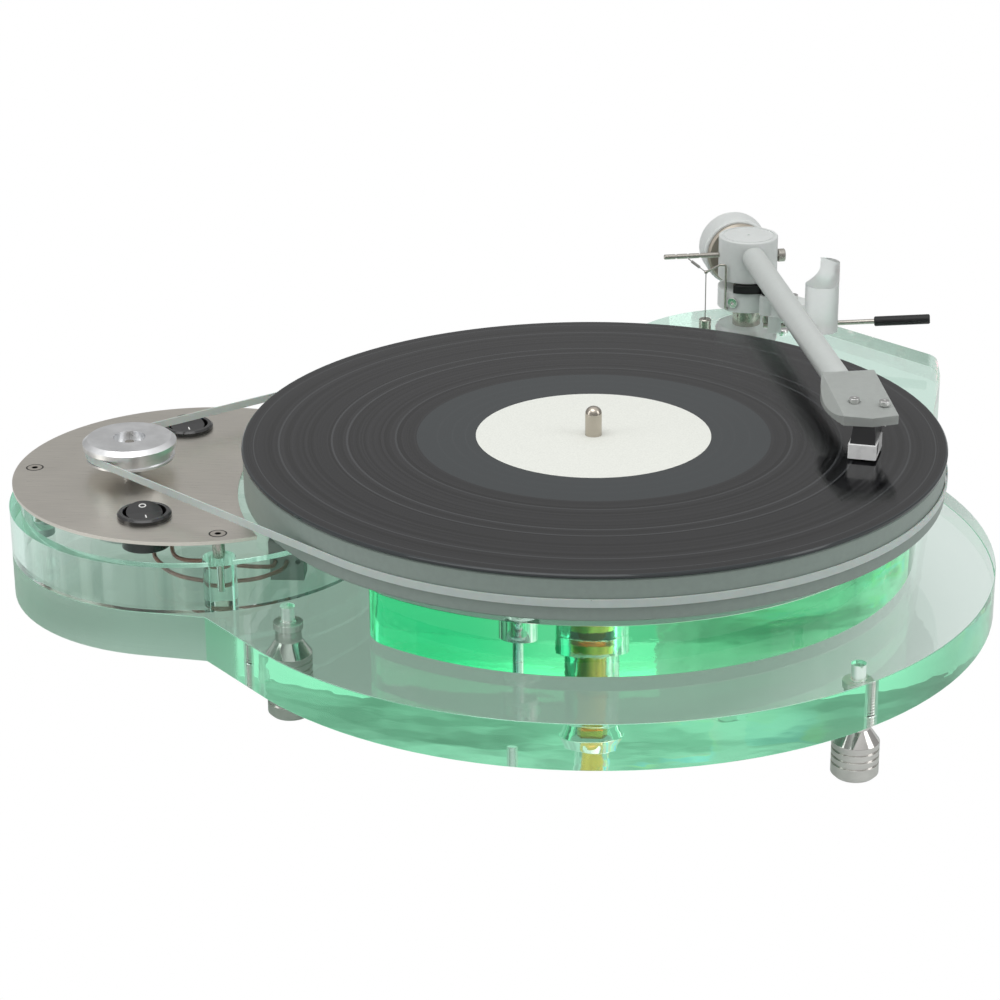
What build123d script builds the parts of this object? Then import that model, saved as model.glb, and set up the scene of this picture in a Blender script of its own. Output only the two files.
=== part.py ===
from build123d import *
import os
from math import acos, asin, atan2, cos, degrees, radians, sin, sqrt, tan

# A belt-drive turntable of two stacked acrylic boards with an outboard motor pod and a unipivot arm.
# Millimetres, +Z up. Every piece is made with its origin under the platter's axis, on the surface that the
# feet stand on, and is exported with the origin under the middle of the whole. The motor pod lies on -X.

# Shared clearances
overrun = 1.0            # how far a cutting shape runs past the face it opens
far_cut = 200.0          # size of a cutting shape that leaves the piece altogether
turn_play = 0.05         # radial play of a shaft in its bore
slip = 0.02              # radial play of a piece seated in another of the same body
soft_gap = 0.3           # the belt's gap to what it runs on

# Stack of boards, from the floor up
foot_body_h = 15.5
foot_cone_h = 6.0
foot_neck_h = 5.0
foot_nut_h = 3.0
lower_t = 20.0
board_gap = 3.0
upper_t = 22.0
platter_gap = 7.2
platter_t = 18.0
record_t = 1.8

# Lower board: a disc and a round lobe for the pod, joined by a neck with two straight flanks
lower_r = 173.6
pod_x = 172.7            # pod axis to platter axis
lobe_r = 82.0
neck_back = 16.4         # neck corner, from the pod axis towards the platter
neck_out = 3.2           # neck corner, outside the lobe's radius
neck_angle = 42.5        # where the neck meets the disc, from -X

# Upper board: a disc cut straight beside the pod, with a wing that carries the arm
upper_r = 138.5
cut_x = 86.0
cut_round = 18.0
arm_reach = 222.0
arm_angle = 72.6
wing_r = 44.5            # the wing's back round the arm
wing_top_angle = 103.0
wing_back_angle = 47.5
wing_left_x = 5.1
wing_left_r = 64.0
wing_front_angle = -7.0
wing_side_cut = 2.98     # side face, short of where the back and front faces would cross
wing_corner_r = 13.0
wing_front_r = 10.0

# Feet
foot_insets = (15.6, 30.6, 23.6)     # of each foot's stud from the lower board's round edge
foot_angles = (-45.3, -150.1, 82.5)
foot_r = 9.75
foot_edge = 1.6
foot_groove_w = 0.9
foot_groove_d = 0.6
foot_groove_pitch = 3.1
foot_groove_count = 3
foot_neck_r = 5.6
foot_nut_r = 6.35
stud_r = 3.0
stud_cover = 1.5         # board left above the stud's end

# Main bearing
shaft_r = 3.0
spindle_r = 3.6
spindle_rise = 12.8      # spindle tip above the record
spindle_dome = 3.3
spindle_root_r = 3.4     # the shaft inside the record and the platter's top
spindle_step_h = 3.0     # the root inside the platter
housing_r = 6.3
housing_flange_r = 9.7
housing_foot_h = 2.5
housing_collar_h = 4.0
housing_collar_drop = 3.0
housing_floor = 3.0
housing_tail_r = 5.0
bearing_rise = 2.0       # housing above the upper board
bearing_bore_r = 7.65
bearing_cbore_r = 10.35
bearing_cbore_d = 8.0
bearing_nut_r = 7.3
bearing_nut_h = 4.5
bearing_nut_sides = 6
bearing_relief_r = 9.0
bearing_relief_d = 6.0

# Decoupling screws between the boards
decoupler_inset = 17.2   # from the upper board's edge
decoupler_angles = (-100.8, 20.0, 125.0)
decoupler_cbore_r = 7.5
decoupler_cbore_d = 12.0
decoupler_shank_r = 2.0
decoupler_ball_r = 3.0
decoupler_washer_r = 5.5
decoupler_washer_h = 1.5
decoupler_cap_r = 3.9
decoupler_cap_h = 2.0
decoupler_reach = 12.0   # thread in the lower board
pad_r = 7.0

# Platter, record and belt
platter_r = 150.3
platter_edge = 0.8
record_r = 150.8
record_rim = 0.5
label_r = 50.5
label_t = 0.2
belt_z = 8.0             # belt's middle above the platter's underside
belt_h = 3.4
belt_t = 0.6

# Motor pod
drum_h = 20.5
drum_wall = 5.0
drum_boss_r = 7.0
fixing_r = 72.0          # the plate's fixings, from the pod axis
fixing_angles = (180.0, -73.5, 73.5)
spacer_r = 2.6
spacer_h = 9.0
screw_r = 1.5
screw_head_r = 3.9
screw_head_h = 1.4
screw_socket_r = 1.1
screw_reach = 14.0       # thread in the drum
plate_t = 1.5
plate_r = 80.0
plate_bite_r = 153.0     # concave edge of the plate, about the platter axis
motor_r = 20.0
motor_h = 22.0
motor_boss_r = 9.0
motor_boss_h = 4.0
motor_x = 202.0
motor_shaft_r = 2.0
motor_shaft_in = 6.0
motor_hole_r = 3.2

# Pulley, from the belt's middle
pulley_track_r = 18.6
pulley_track_h = 4.2
pulley_lip_r = 19.4
pulley_lip_h = 1.0
pulley_flange_r = 20.4
pulley_flange_h = 2.2
pulley_top_r = 18.2
pulley_bevel_h = 1.8
pulley_bore_r = 7.0
pulley_bore_d = 4.0
pulley_taper_h = 2.4
pulley_hub_r = 4.25
pulley_hub_gap = 0.6     # hub above the plate
pulley_screw_r = 1.0
pulley_screw_h = 2.4     # height of the set screw above the hub's end

# Rocker switches
switch_x = 186.2
switch_y = 52.0
switch_turn = -69.0      # direction of the rocker's pressed end
bezel_r = 11.5
bezel_h = 2.2
bezel_edge = 0.8
bezel_mouth_r = 9.2
switch_body_r = 10.2
switch_body_h = 13.0
switch_floor = 3.5
rocker_half = 7.6
rocker_high = 3.9        # raised end above the plate
rocker_mid = 1.6
rocker_low = 0.7
rocker_under = 3.2
rocker_pin_r = 1.2
rocker_pin_drop = 1.6
rocker_pin_in = 0.6

# Terminal block, wires and inlet in the pod
block_size = (14.0, 11.0, 17.0)
block_at = (44.0, -38.0)
terminal_count = 3
terminal_hole_r = 1.8
terminal_hole_d = 1.8
terminal_entry = 2.75
wire_r = 0.9
wire_play = 0.2
wire_end_gap = 0.6       # slanted wire end to what it meets
wire_round_share = 0.45  # rounding at a bend, as a share of the shorter run beside it
wire_motor_angles = (-33.0, -53.0)

# The leads' bends: place from the pod's axis, and height from the middle of the block
first_bends = (
    (39.3, -49.0, 0.0), (30.0, -54.0, 2.0), (15.0, -55.0, 4.0), (3.0, -51.0, 2.0),
    (-4.0, -42.0, 0.0), (-7.0, -31.0, 1.0), (-9.0, -21.0, 1.0),
)
second_bends = (
    (44.0, -51.0, 0.0), (34.0, -58.0, -2.0), (15.0, -59.0, -3.5), (-1.0, -56.0, -2.0),
    (-11.0, -46.0, 0.0), (-14.0, -35.0, -1.0), (-15.0, -26.0, -1.0),
)
third_bends = (
    (48.7, -22.0, 0.0), (53.0, -8.0, -3.0), (51.0, 9.0, -3.5), (45.0, 26.0, -2.0),
    (39.0, 42.0, 0.0), (36.0, 52.0, 1.0),
)
wire_motor_rise = 2.0    # first lead's end at the motor, above the middle of the block
inlet_angle = 62.0
inlet_r = 4.0
inlet_flange_r = 6.0
inlet_flange_t = 2.0
inlet_in = 12.0
inlet_hole_r = 1.3

# Arm stand
ring_r = 15.3
ring_h = 7.2
ring_edge = 2.5
pillar_r = 6.95
pillar_stud_r = 4.0
pillar_stud_h = 12.0
collar_drop = 9.8        # collar's underside below its top
collar_r = 14.5
collar_top = 19.5        # collar's top above the base ring
spike_r = 2.4
spike_cone_h = 5.0
spike_in = 6.0
bracket_w = 10.0
clamp_screw_angle = -118.0
clamp_screw_r = 1.5
clamp_head_r = 2.6
clamp_head_h = 2.2
clamp_screw_in = 5.0
board_screw_at = 19.7
board_screw_angle = 23.0
board_screw_r = 3.2
board_screw_h = 2.0
board_screw_round = 1.2
board_screw_len = 6.0

# Arm rest
rest_r = 8.1
rest_reach = 48.6
rest_angle = -42.7
rest_below = 1.4         # post below the collar's underside
rest_over = 4.6          # post above the arm tube's axis
rest_play = 0.5
rest_cradle_r = 6.9
rest_cradle_side = 1.9     # the parked tube's axis, short of the post's own
rest_screw_at = 30.0
rest_screw_r = 1.5

# Arm
arm_dir = -78.4          # direction of the tube in the photographed pose
tube_above = 18.2        # tube axis above the collar's top
tube_r = 5.75
tube_wall = 1.0
arm_len = 238.0          # pivot to stylus
arm_hub_r = 14.5
arm_hub_gap = 4.95       # hub's underside above the collar's top
arm_hub_h = 20.95
arm_hub_wall = 5.5
arm_hub_roof = 8.6
arm_hub_edge = 0.8
dimple_r = 0.8
dimple_d = 1.5
cup_r = 4.0
cup_h = 4.0
cup_gap = 0.3
cup_depth = 2.6

# Headshell and cartridge
shell_back = 196.0       # back edge, from the pivot
shell_front = 239.0
shell_nose = 1.8
shell_left = 8.8
shell_right = 14.2
shell_t = 4.0
shell_slope = 5.0        # the top's fall from back to front
shell_seat_h = 5.3       # screw heads' seats above the underside
shell_bulge = 3.4        # how far the left flank swells out under the top's edge
shell_bulge_at = 213.0   # and where it is widest, from the pivot
shell_fall = 50.0        # slope of the flank's face
shell_peg_len = 8.0      # the peg that holds the tube
shell_nose_side = 2.6    # the front's foremost point, to the tube's outer side
shell_top_over_tube = 5.9
offset_angle = 22.6
cart_front = 5.0         # stylus to the cartridge's front
cart_len = 18.0
cart_w = 11.9
cart_white_h = 6.3
cart_edge = 0.5
cart_lift = 1.2          # white shell above the record
cart_black_len = 21.0
cart_black_w = 10.6
cart_black_top_w = 9.0
cart_black_front = 1.2
cart_black_lean = 2.4
cart_flange_w = 17.0
cart_flange_len = 7.5
cart_flange_t = 2.0
cart_eye_r = 2.8
cart_eye_d = 0.8
cart_eye_at = 5.4
cart_screw_pitch = 12.7
cart_screw_back = 16.5
cart_screw_r = 1.25
cart_head_r = 2.2
cart_head_h = 2.2
cart_head_room = 0.6     # gap round a screw's head where the flank is cut away
stylus_len = 4.5
stylus_w = 1.6
stylus_t = 0.7
stylus_tip_r = 0.3
stylus_gap = 0.05

# Counterweight
tail_r = 4.0
tail_drop = 4.3          # tail below the tube's axis
tail_len = 48.0
weight_r = 17.0
weight_len = 15.0
weight_drop = 4.5        # weight's axis below the tail
weight_at = 24.0
weight_face_r = 15.6
weight_face_t = 3.6
weight_edge = 1.0

# Side knob
knob_r = 3.2
knob_len = 3.6
knob_edge = 0.3
knob_stud_r = 1.5
knob_stud_in = 4.0
knob_drop = 3.4          # below the tube's axis
knob_gap = 0.3

# Side-force weight
lever_rod_r = 1.25
lever_rod_len = 42.0
lever_rod_drop = 1.8     # below the tube's axis
lever_rod_groove = 0.35
lever_rod_groove_w = 0.9
lever_rod_grooves = (24.0, 30.0, 36.0)
guide_wire_r = 0.6
guide_angle = -131.7
guide_reach = 16.0
guide_start = 12.6
guide_foot = 1.2         # wire's foot above the collar's underside
guide_top = 14.0         # above the collar's top
guide_bend = 3.0
guide_eye = (-20.4, -8.9)
guide_eye_rise = 9.2
guide_eye_r = 0.95
thread_r = 0.25
sleeve_r = 0.7
sleeve_shares = (0.35, 0.8)
hanger_r = 3.0
hanger_h = 6.2
hanger_edge = 0.4
hanger_drop = 30.2       # hanging weight's underside below the eye

# Arm lift
cue_inner_r = 10.5
cue_outer_r = 16.0
cue_angles = (-116.0, -30.0)
cue_h = 3.9
cue_gap = 0.7            # bar below the hub
cue_pin_r = 1.6
cue_lug_r = 2.6
cue_boss_r = 3.4
lift_angle = -48.0
lift_reach = 20.6
lift_short = 4.4         # lever's short arm
lift_drop = 5.8          # lever pivot below the collar
lift_hub_r = 2.4
lift_hub_w = 4.0
lift_pin_r = 1.2
lift_cheek_t = 2.0
lift_cheek_w = 6.4
lift_dir = -3.0
lift_rise = 4.7          # lever's slope at rest
lift_rod_r = 1.2
lift_rod_len = 54.0
lift_grip_r = 2.4
lift_grip_len = 27.0
lift_grip_on = 5.4       # length of rod inside the grip
lift_grip_edge = 0.5

# Heights and places worked out from the sizes above
foot_h = foot_body_h + foot_cone_h + foot_neck_h
low_z0 = foot_h + foot_nut_h
low_z1 = low_z0 + lower_t
up_z0 = low_z1 + board_gap
up_z1 = up_z0 + upper_t
plat_z0 = up_z1 + platter_gap
plat_z1 = plat_z0 + platter_t
rec_z1 = plat_z1 + record_t
drum_z1 = low_z1 + drum_h
plate_z0 = drum_z1 + spacer_h
plate_z1 = plate_z0 + plate_t
belt_mid = plat_z0 + belt_z
ring_z1 = up_z1 + ring_h
collar_z1 = ring_z1 + collar_top
collar_z0 = collar_z1 - collar_drop
hub_z0 = collar_z1 + arm_hub_gap
hub_z1 = hub_z0 + arm_hub_h
tube_z = collar_z1 + tube_above
pivot_z = hub_z1 - arm_hub_roof - cup_gap
decoupler_r = upper_r - decoupler_inset
foot_places = tuple((lower_r - inset, angle) for inset, angle in zip(foot_insets, foot_angles))
park_angle = rest_angle - degrees(asin(rest_cradle_side / rest_reach))
standing = (Align.CENTER, Align.CENTER, Align.MIN)
behind = (Align.MAX, Align.CENTER, Align.MIN)


def spot(reach, angle, z=0.0):
    return Vector(reach * cos(radians(angle)), reach * sin(radians(angle)), z)


arm_at = spot(arm_reach, arm_angle)
pod_at = Vector(-pod_x, 0, 0)
motor_at = Vector(-motor_x, 0, 0)
collar_mid = (collar_z0 + collar_z1) / 2


def disc(radius, z0, z1, at=Vector(0, 0, 0)):
    return Pos(at.X, at.Y, z0) * Cylinder(radius, z1 - z0, align=standing)


def cone(r0, r1, z0, z1, at=Vector(0, 0, 0)):
    return Pos(at.X, at.Y, z0) * Cone(r0, r1, z1 - z0, align=standing)


def bar(radius, start, end):
    # A round bar from one point to another
    way = end - start
    return Plane(origin=start, z_dir=way) * Cylinder(radius, way.length, align=standing)


def spun(points, at=Vector(0, 0, 0)):
    # A solid of revolution from (radius, height) points
    profile = Plane.XZ * make_face(Polyline(*[(r, z) for r, z in points], close=True))
    return Pos(at.X, at.Y, 0) * revolve(profile, Axis.Z)


def slab(outline, z0, z1):
    return Pos(0, 0, z0) * extrude(make_face(outline), amount=z1 - z0)


def meet(angle_a, dist_a, angle_b, dist_b):
    # Where two lines cross, each given by its normal's angle and its distance from the origin
    a, b = radians(angle_a), radians(angle_b)
    turn = sin(b - a)
    return ((dist_a * sin(b) - dist_b * sin(a)) / turn, (dist_b * cos(a) - dist_a * cos(b)) / turn)


def from_axis(angle, distance, at):
    # Distance from the origin of a line that lies a distance from a point, on the side of its normal
    return distance + at.X * cos(radians(angle)) + at.Y * sin(radians(angle))


# The boards

def neck():
    corner = Vector(neck_back, lobe_r + neck_out)
    lean = degrees(atan2(corner.Y, corner.X)) + degrees(acos(lobe_r / corner.length))
    touch = spot(lobe_r, lean)
    join = spot(lower_r, neck_angle)
    side = [(touch.X - pod_x, touch.Y), (corner.X - pod_x, corner.Y), (-join.X, join.Y)]
    other = [(x, -y) for x, y in reversed(side)]
    return slab(Polyline(*side, (0, 0), *other, close=True), low_z0, low_z1)


def lower_plinth():
    board = disc(lower_r, low_z0, low_z1) + disc(lobe_r, low_z0, low_z1, pod_at) + neck()
    for reach, angle in foot_places:
        board -= disc(stud_r + turn_play, low_z0 - overrun, low_z1 + overrun, spot(reach, angle))
    for angle in decoupler_angles:
        start = low_z1 - decoupler_reach
        board -= disc(decoupler_shank_r + slip, start, low_z1 + overrun, spot(decoupler_r, angle))
    board -= disc(housing_tail_r + slip, low_z0 - overrun, low_z1 + overrun)
    relief_top = low_z0 + bearing_relief_d
    board -= cone(bearing_relief_r, bearing_nut_r, low_z0, relief_top)
    return board


def wing():
    top = from_axis(wing_top_angle, wing_r, arm_at)
    back = from_axis(wing_back_angle, wing_r, arm_at)
    touch = spot(upper_r, wing_front_angle)
    side = meet(wing_front_angle, upper_r, wing_back_angle, back)[0] - wing_side_cut
    points = [
        (0, 0),
        (wing_left_x, 0),
        meet(wing_top_angle, top, 180, -wing_left_x),
        meet(wing_back_angle, back, wing_top_angle, top),
        meet(0, side, wing_back_angle, back),
        meet(wing_front_angle, upper_r, 0, side),
        (touch.X, touch.Y),
    ]
    near_arm = wing_r - overrun / 2
    rounds = [0, 0, wing_left_r, near_arm, wing_corner_r, wing_front_r, 0]
    return slab(FilletPolyline(*points, radius=rounds, close=True), up_z0, up_z1)


def upper_outline():
    half = sqrt(upper_r**2 - cut_x**2)
    board = disc(upper_r, up_z0, up_z1)
    wide = upper_r + cut_x
    board -= Pos(-cut_x - upper_r / 2, 0, up_z0) * Box(upper_r, wide * 2, upper_t, align=standing)
    corners = [e for e in board.edges().filter_by(Axis.Z) if abs(abs(e.center().Y) - half) < overrun]
    return fillet(corners, cut_round)


def upper_plinth():
    board = upper_outline() + wing()
    board -= disc(bearing_bore_r, up_z0 - overrun, up_z1 + overrun)
    board -= disc(bearing_cbore_r, up_z1 - bearing_cbore_d, up_z1 + overrun)
    for angle in decoupler_angles:
        place = spot(decoupler_r, angle)
        board -= disc(decoupler_cbore_r, up_z1 - decoupler_cbore_d, up_z1 + overrun, place)
        board -= disc(decoupler_shank_r + turn_play * 2, up_z0 - overrun, up_z1, place)
    board -= disc(pillar_stud_r + slip, up_z1 - pillar_stud_h, up_z1 + overrun, arm_at)
    screw_at = arm_at + spot(board_screw_at, board_screw_angle)
    board -= disc(screw_r + slip, up_z1 - board_screw_len, up_z1 + overrun, screw_at)
    return board


def decoupler_pads():
    pads = []
    for angle in decoupler_angles:
        place = spot(decoupler_r, angle)
        hole = disc(decoupler_shank_r + slip, low_z1 - overrun, up_z0 + overrun, place)
        pads.append(disc(pad_r, low_z1, up_z0, place) - hole)
    return pads


def decoupler_screw(angle):
    place = spot(decoupler_r, angle)
    seat = up_z1 - decoupler_cbore_d
    washer_top = seat + decoupler_washer_h
    ball_z = washer_top + decoupler_ball_r
    cap_z0 = up_z1 - decoupler_cap_h
    screw = disc(decoupler_shank_r, low_z1 - decoupler_reach, cap_z0, place)
    screw += disc(decoupler_washer_r, seat, washer_top, place)
    screw += Pos(place.X, place.Y, ball_z) * Sphere(decoupler_ball_r)
    return screw + disc(decoupler_cap_r, cap_z0, up_z1, place)


# The feet

def foot(reach, angle):
    rim, edge = foot_r, foot_edge
    body = spun([
        (0, 0),
        (rim - edge, 0),
        (rim, edge),
        (rim, foot_body_h),
        (foot_neck_r, foot_body_h + foot_cone_h),
        (foot_neck_r, foot_h),
        (0, foot_h),
    ])
    for n in range(foot_groove_count):
        z = foot_body_h - (n + 1) * foot_groove_pitch
        top = z + foot_groove_w
        body -= disc(rim + overrun, z, top) - disc(rim - foot_groove_d, z, top)
    body += disc(stud_r, foot_h, low_z1 - stud_cover)
    return Pos(*spot(reach, angle)) * body


def foot_nuts():
    nuts = []
    for reach, angle in foot_places:
        place = spot(reach, angle)
        hole = disc(stud_r + turn_play, foot_h - overrun, low_z0 + overrun, place)
        nuts.append(disc(foot_nut_r, foot_h, low_z0, place) - hole)
    return nuts


# The main bearing

def bearing_housing():
    top = up_z1 + bearing_rise
    collar_z = up_z1 - housing_collar_drop
    body = disc(housing_r, low_z1, top) + disc(housing_flange_r, low_z1, low_z1 + housing_foot_h)
    body += disc(housing_flange_r, collar_z - housing_collar_h, collar_z)
    body += disc(housing_tail_r, low_z0, low_z1)
    return body - disc(shaft_r + turn_play, low_z1 + housing_floor, top + overrun)


def bearing_nut():
    nut = extrude(RegularPolygon(bearing_nut_r, bearing_nut_sides), amount=bearing_nut_h)
    return Pos(0, 0, low_z0) * nut - disc(housing_tail_r + slip, low_z0 - overrun, low_z1)


def bearing_shaft():
    tip = rec_z1 + spindle_rise
    step_z = plat_z1 - spindle_step_h
    shaft = disc(shaft_r, low_z1 + housing_floor + soft_gap, step_z)
    shaft += disc(spindle_root_r, step_z, rec_z1) + disc(spindle_r, rec_z1, tip)
    crown = shaft.edges().filter_by(GeomType.CIRCLE).sort_by(Axis.Z)[-1]
    return fillet(crown, spindle_dome)


# The platter and what lies on it

def platter():
    body = chamfer(disc(platter_r, plat_z0, plat_z1).edges().filter_by(GeomType.CIRCLE), platter_edge)
    body -= disc(shaft_r + slip, plat_z0 - overrun, plat_z1)
    return body - disc(spindle_root_r + slip, plat_z1 - spindle_step_h, plat_z1 + overrun)


def record():
    body = chamfer(disc(record_r, plat_z1, rec_z1).edges().filter_by(GeomType.CIRCLE), record_rim)
    body -= disc(label_r, rec_z1 - label_t, rec_z1 + overrun)
    return body - disc(spindle_r + turn_play, plat_z1 - overrun, rec_z1 + overrun)


def record_label():
    label = disc(label_r, rec_z1 - label_t, rec_z1)
    return label - disc(spindle_r + turn_play, plat_z1, rec_z1 + overrun)


def belt_loop(gap):
    # The outline round both running surfaces, a gap outside them
    big, small = platter_r + gap, pulley_track_r + gap
    swing = degrees(acos((platter_r - pulley_track_r) / motor_x))
    face = Circle(big) + Pos(-motor_x, 0) * Circle(small)
    pairs = []
    for side in (180 - swing, 180 + swing):
        far = spot(small, side)
        pairs.append([(spot(big, side).X, spot(big, side).Y), (far.X - motor_x, far.Y)])
    (a, b), (d, c) = pairs
    return face + make_face(Polyline(a, b, c, d, close=True))


def drive_belt():
    band = belt_loop(soft_gap + belt_t) - belt_loop(soft_gap)
    return Pos(0, 0, belt_mid - belt_h / 2) * extrude(band, amount=belt_h)


# The motor pod

def pod_drum():
    drum = disc(lobe_r, low_z1, drum_z1, pod_at)
    drum -= disc(lobe_r - drum_wall, low_z1 - overrun, drum_z1 + overrun, pod_at)
    for angle in fixing_angles:
        place = pod_at + spot(fixing_r, angle)
        drum += disc(drum_boss_r, low_z1, drum_z1, place)
        drum -= disc(screw_r + slip, drum_z1 - screw_reach, drum_z1 + overrun, place)
    away = spot(1, inlet_angle)
    wall = pod_at + spot(lobe_r, inlet_angle, low_z1 + drum_h / 2)
    hole = bar(inlet_r + slip, wall - away * (drum_wall + overrun), wall + away * overrun)
    return drum - hole


def power_inlet():
    away = spot(1, inlet_angle)
    wall = pod_at + spot(lobe_r, inlet_angle, low_z1 + drum_h / 2)
    barrel = bar(inlet_r, wall - away * inlet_in, wall + away * inlet_flange_t)
    flange = bar(inlet_flange_r, wall + away * slip, wall + away * inlet_flange_t)
    hole = bar(inlet_hole_r, wall - away * inlet_in / 2, wall + away * inlet_flange_t * 2)
    return barrel + flange - hole


def top_plate():
    plate = disc(plate_r, plate_z0, plate_z1, pod_at)
    plate -= disc(plate_bite_r, plate_z0 - overrun, plate_z1 + overrun)
    for angle in fixing_angles:
        place = pod_at + spot(fixing_r, angle)
        plate -= disc(screw_r + slip, plate_z0 - overrun, plate_z1, place)
        plate -= cone(screw_r + slip, screw_head_r + slip, plate_z1 - screw_head_h, plate_z1, place)
    for side in (-1, 1):
        place = Vector(-switch_x, side * switch_y)
        plate -= disc(switch_body_r + slip, plate_z0 - overrun, plate_z1 + overrun, place)
    return plate - disc(motor_hole_r, plate_z0 - overrun, plate_z1 + overrun, motor_at)


def plate_spacers():
    places = [pod_at + spot(fixing_r, angle) for angle in fixing_angles]
    hole = screw_r + slip
    return [disc(spacer_r, drum_z1, plate_z0, p) - disc(hole, drum_z1, plate_z0, p) for p in places]


def plate_screws():
    screws = []
    for angle in fixing_angles:
        place = pod_at + spot(fixing_r, angle)
        screw = disc(screw_r, drum_z1 - screw_reach, plate_z1 - screw_head_h, place)
        screw += cone(screw_r, screw_head_r, plate_z1 - screw_head_h, plate_z1, place)
        screw -= disc(screw_socket_r, plate_z1 - screw_head_h / 2, plate_z1 + overrun, place)
        screws.append(screw)
    return screws


def motor():
    can_top = plate_z0 - motor_boss_h
    can = disc(motor_r, can_top - motor_h, can_top, motor_at)
    can = chamfer(can.edges().filter_by(GeomType.CIRCLE), bezel_edge)
    can += disc(motor_boss_r, can_top, plate_z0, motor_at)
    low = can_top - motor_shaft_in * 2
    return can - disc(motor_shaft_r + turn_play, low, plate_z0 + overrun, motor_at)


def motor_shaft():
    bottom = plate_z0 - motor_boss_h - motor_shaft_in
    return disc(motor_shaft_r, bottom, pulley_top() - pulley_bore_d + motor_shaft_r, motor_at)


def pulley_top():
    return belt_mid + pulley_track_h / 2 + pulley_flange_h + pulley_bevel_h


def pulley():
    track_top = belt_mid + pulley_track_h / 2
    track_low = belt_mid - pulley_track_h / 2
    lip_low = track_low - pulley_lip_h
    body = spun([
        (0, plate_z1 + pulley_hub_gap),
        (pulley_hub_r, plate_z1 + pulley_hub_gap),
        (pulley_hub_r, lip_low - pulley_taper_h),
        (pulley_lip_r, lip_low),
        (pulley_lip_r, track_low),
        (pulley_track_r, track_low),
        (pulley_track_r, track_top),
        (pulley_flange_r, track_top),
        (pulley_flange_r, track_top + pulley_flange_h),
        (pulley_top_r, pulley_top()),
        (0, pulley_top()),
    ], motor_at)
    body -= disc(pulley_bore_r, pulley_top() - pulley_bore_d, pulley_top() + overrun, motor_at)
    body -= disc(motor_shaft_r + slip, plate_z1, pulley_top(), motor_at)
    return body - pulley_screw_bar(pulley_screw_r + slip, pulley_hub_r + overrun)


def pulley_screw_bar(radius, reach):
    z = plate_z1 + pulley_hub_gap + pulley_screw_h
    start = motor_at + Vector(0, -motor_shaft_r - slip * 2, z)
    return bar(radius, start, motor_at + Vector(0, -reach, z))


def pulley_screw():
    return pulley_screw_bar(pulley_screw_r, pulley_hub_r)


def switch_place(side):
    return Pos(-switch_x, side * switch_y, plate_z1) * Rot(0, 0, switch_turn)


def switch_bezel(side):
    body = disc(switch_body_r, -switch_body_h, bezel_h) + disc(bezel_r, 0, bezel_h)
    body = chamfer(body.edges().filter_by(GeomType.CIRCLE).sort_by(Axis.Z)[-1], bezel_edge)
    body -= disc(bezel_mouth_r, switch_floor - switch_body_h, bezel_h + overrun)
    pin_hole = rocker_pin_r + turn_play
    reach = bezel_mouth_r + rocker_pin_in + turn_play
    body -= bar(pin_hole, Vector(0, -reach, -rocker_pin_drop), Vector(0, reach, -rocker_pin_drop))
    return switch_place(side) * body


def rocker(side):
    half = rocker_half
    outline = Polyline(
        (-half, -rocker_low), (-half, rocker_high), (0, rocker_mid), (half, rocker_low),
        (half, -rocker_under), (0, -rocker_under - rocker_low), close=True)
    prism = extrude(Plane.XZ * make_face(outline), amount=half, both=True)
    body = prism & disc(half, -rocker_under * 2, rocker_high * 2)
    reach = bezel_mouth_r + rocker_pin_in
    body += bar(rocker_pin_r, Vector(0, -reach, -rocker_pin_drop), Vector(0, reach, -rocker_pin_drop))
    return switch_place(side) * body


def terminal_block():
    wide, deep, high = block_size
    block = Box(wide, deep, high, align=standing)
    for n in range(terminal_count):
        x = (n - (terminal_count - 1) / 2) * wide / terminal_count
        well = Cylinder(terminal_hole_r, terminal_hole_d * 2, align=standing)
        block -= Pos(x, 0, high - terminal_hole_d) * well
        mouth = Vector(x, -deep, high / 2)
        block -= bar(wire_r + wire_play, mouth, Vector(x, terminal_entry - deep / 2, high / 2))
    return Pos(pod_at.X + block_at[0], pod_at.Y + block_at[1], low_z1) * block


def pod_wires():
    # Two leads from the block to the motor and one to the inlet
    x, y = block_at
    pitch = block_size[0] / terminal_count
    half = block_size[1] / 2
    reach = motor_r + wire_end_gap
    can = Vector(pod_x - motor_x, 0)
    first_end = can + spot(reach, wire_motor_angles[0], wire_motor_rise)
    second_end = can + spot(reach, wire_motor_angles[1])
    inlet_z = drum_h / 2 - block_size[2] / 2
    inlet_end = spot(lobe_r - inlet_in - wire_end_gap, inlet_angle, inlet_z)
    return [
        wire((x - pitch, y - half, 0), first_bends, first_end),
        wire((x, y - half, 0), second_bends, second_end),
        wire((x + pitch, y + half, 0), third_bends, inlet_end),
    ]


def wire(start, bends, end):
    # A lead through points from the pod's axis, with heights from the middle of the block
    middle = pod_at + Vector(0, 0, low_z1 + block_size[2] / 2)
    points = [middle + Vector(*start)] + [middle + Vector(*bend) for bend in bends] + [middle + end]
    radii = []
    for before, here, after in zip(points, points[1:], points[2:]):
        run = min((here - before).length, (after - here).length)
        turn = radians((here - before).get_angle(after - here))
        radii.append(wire_round_share * run / tan(turn / 2))
    path = FilletPolyline(*points, radius=radii)
    section = Plane(origin=points[0], z_dir=points[1] - points[0]) * Circle(wire_r)
    return sweep(section, path=path)


# The arm's stand

def arm_ring():
    ring = disc(ring_r, up_z1, ring_z1, arm_at)
    ring = fillet(ring.edges().filter_by(GeomType.CIRCLE).sort_by(Axis.Z)[-1], ring_edge)
    return ring - disc(pillar_r + slip, up_z1 - overrun, ring_z1 + overrun, arm_at)


def arm_pillar():
    pillar = disc(pillar_r, up_z1, collar_z1, arm_at)
    pillar += disc(pillar_stud_r, up_z1 - pillar_stud_h, up_z1, arm_at)
    return pillar - disc(spike_r + slip, collar_z1 - spike_in, collar_z1 + overrun, arm_at)


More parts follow.
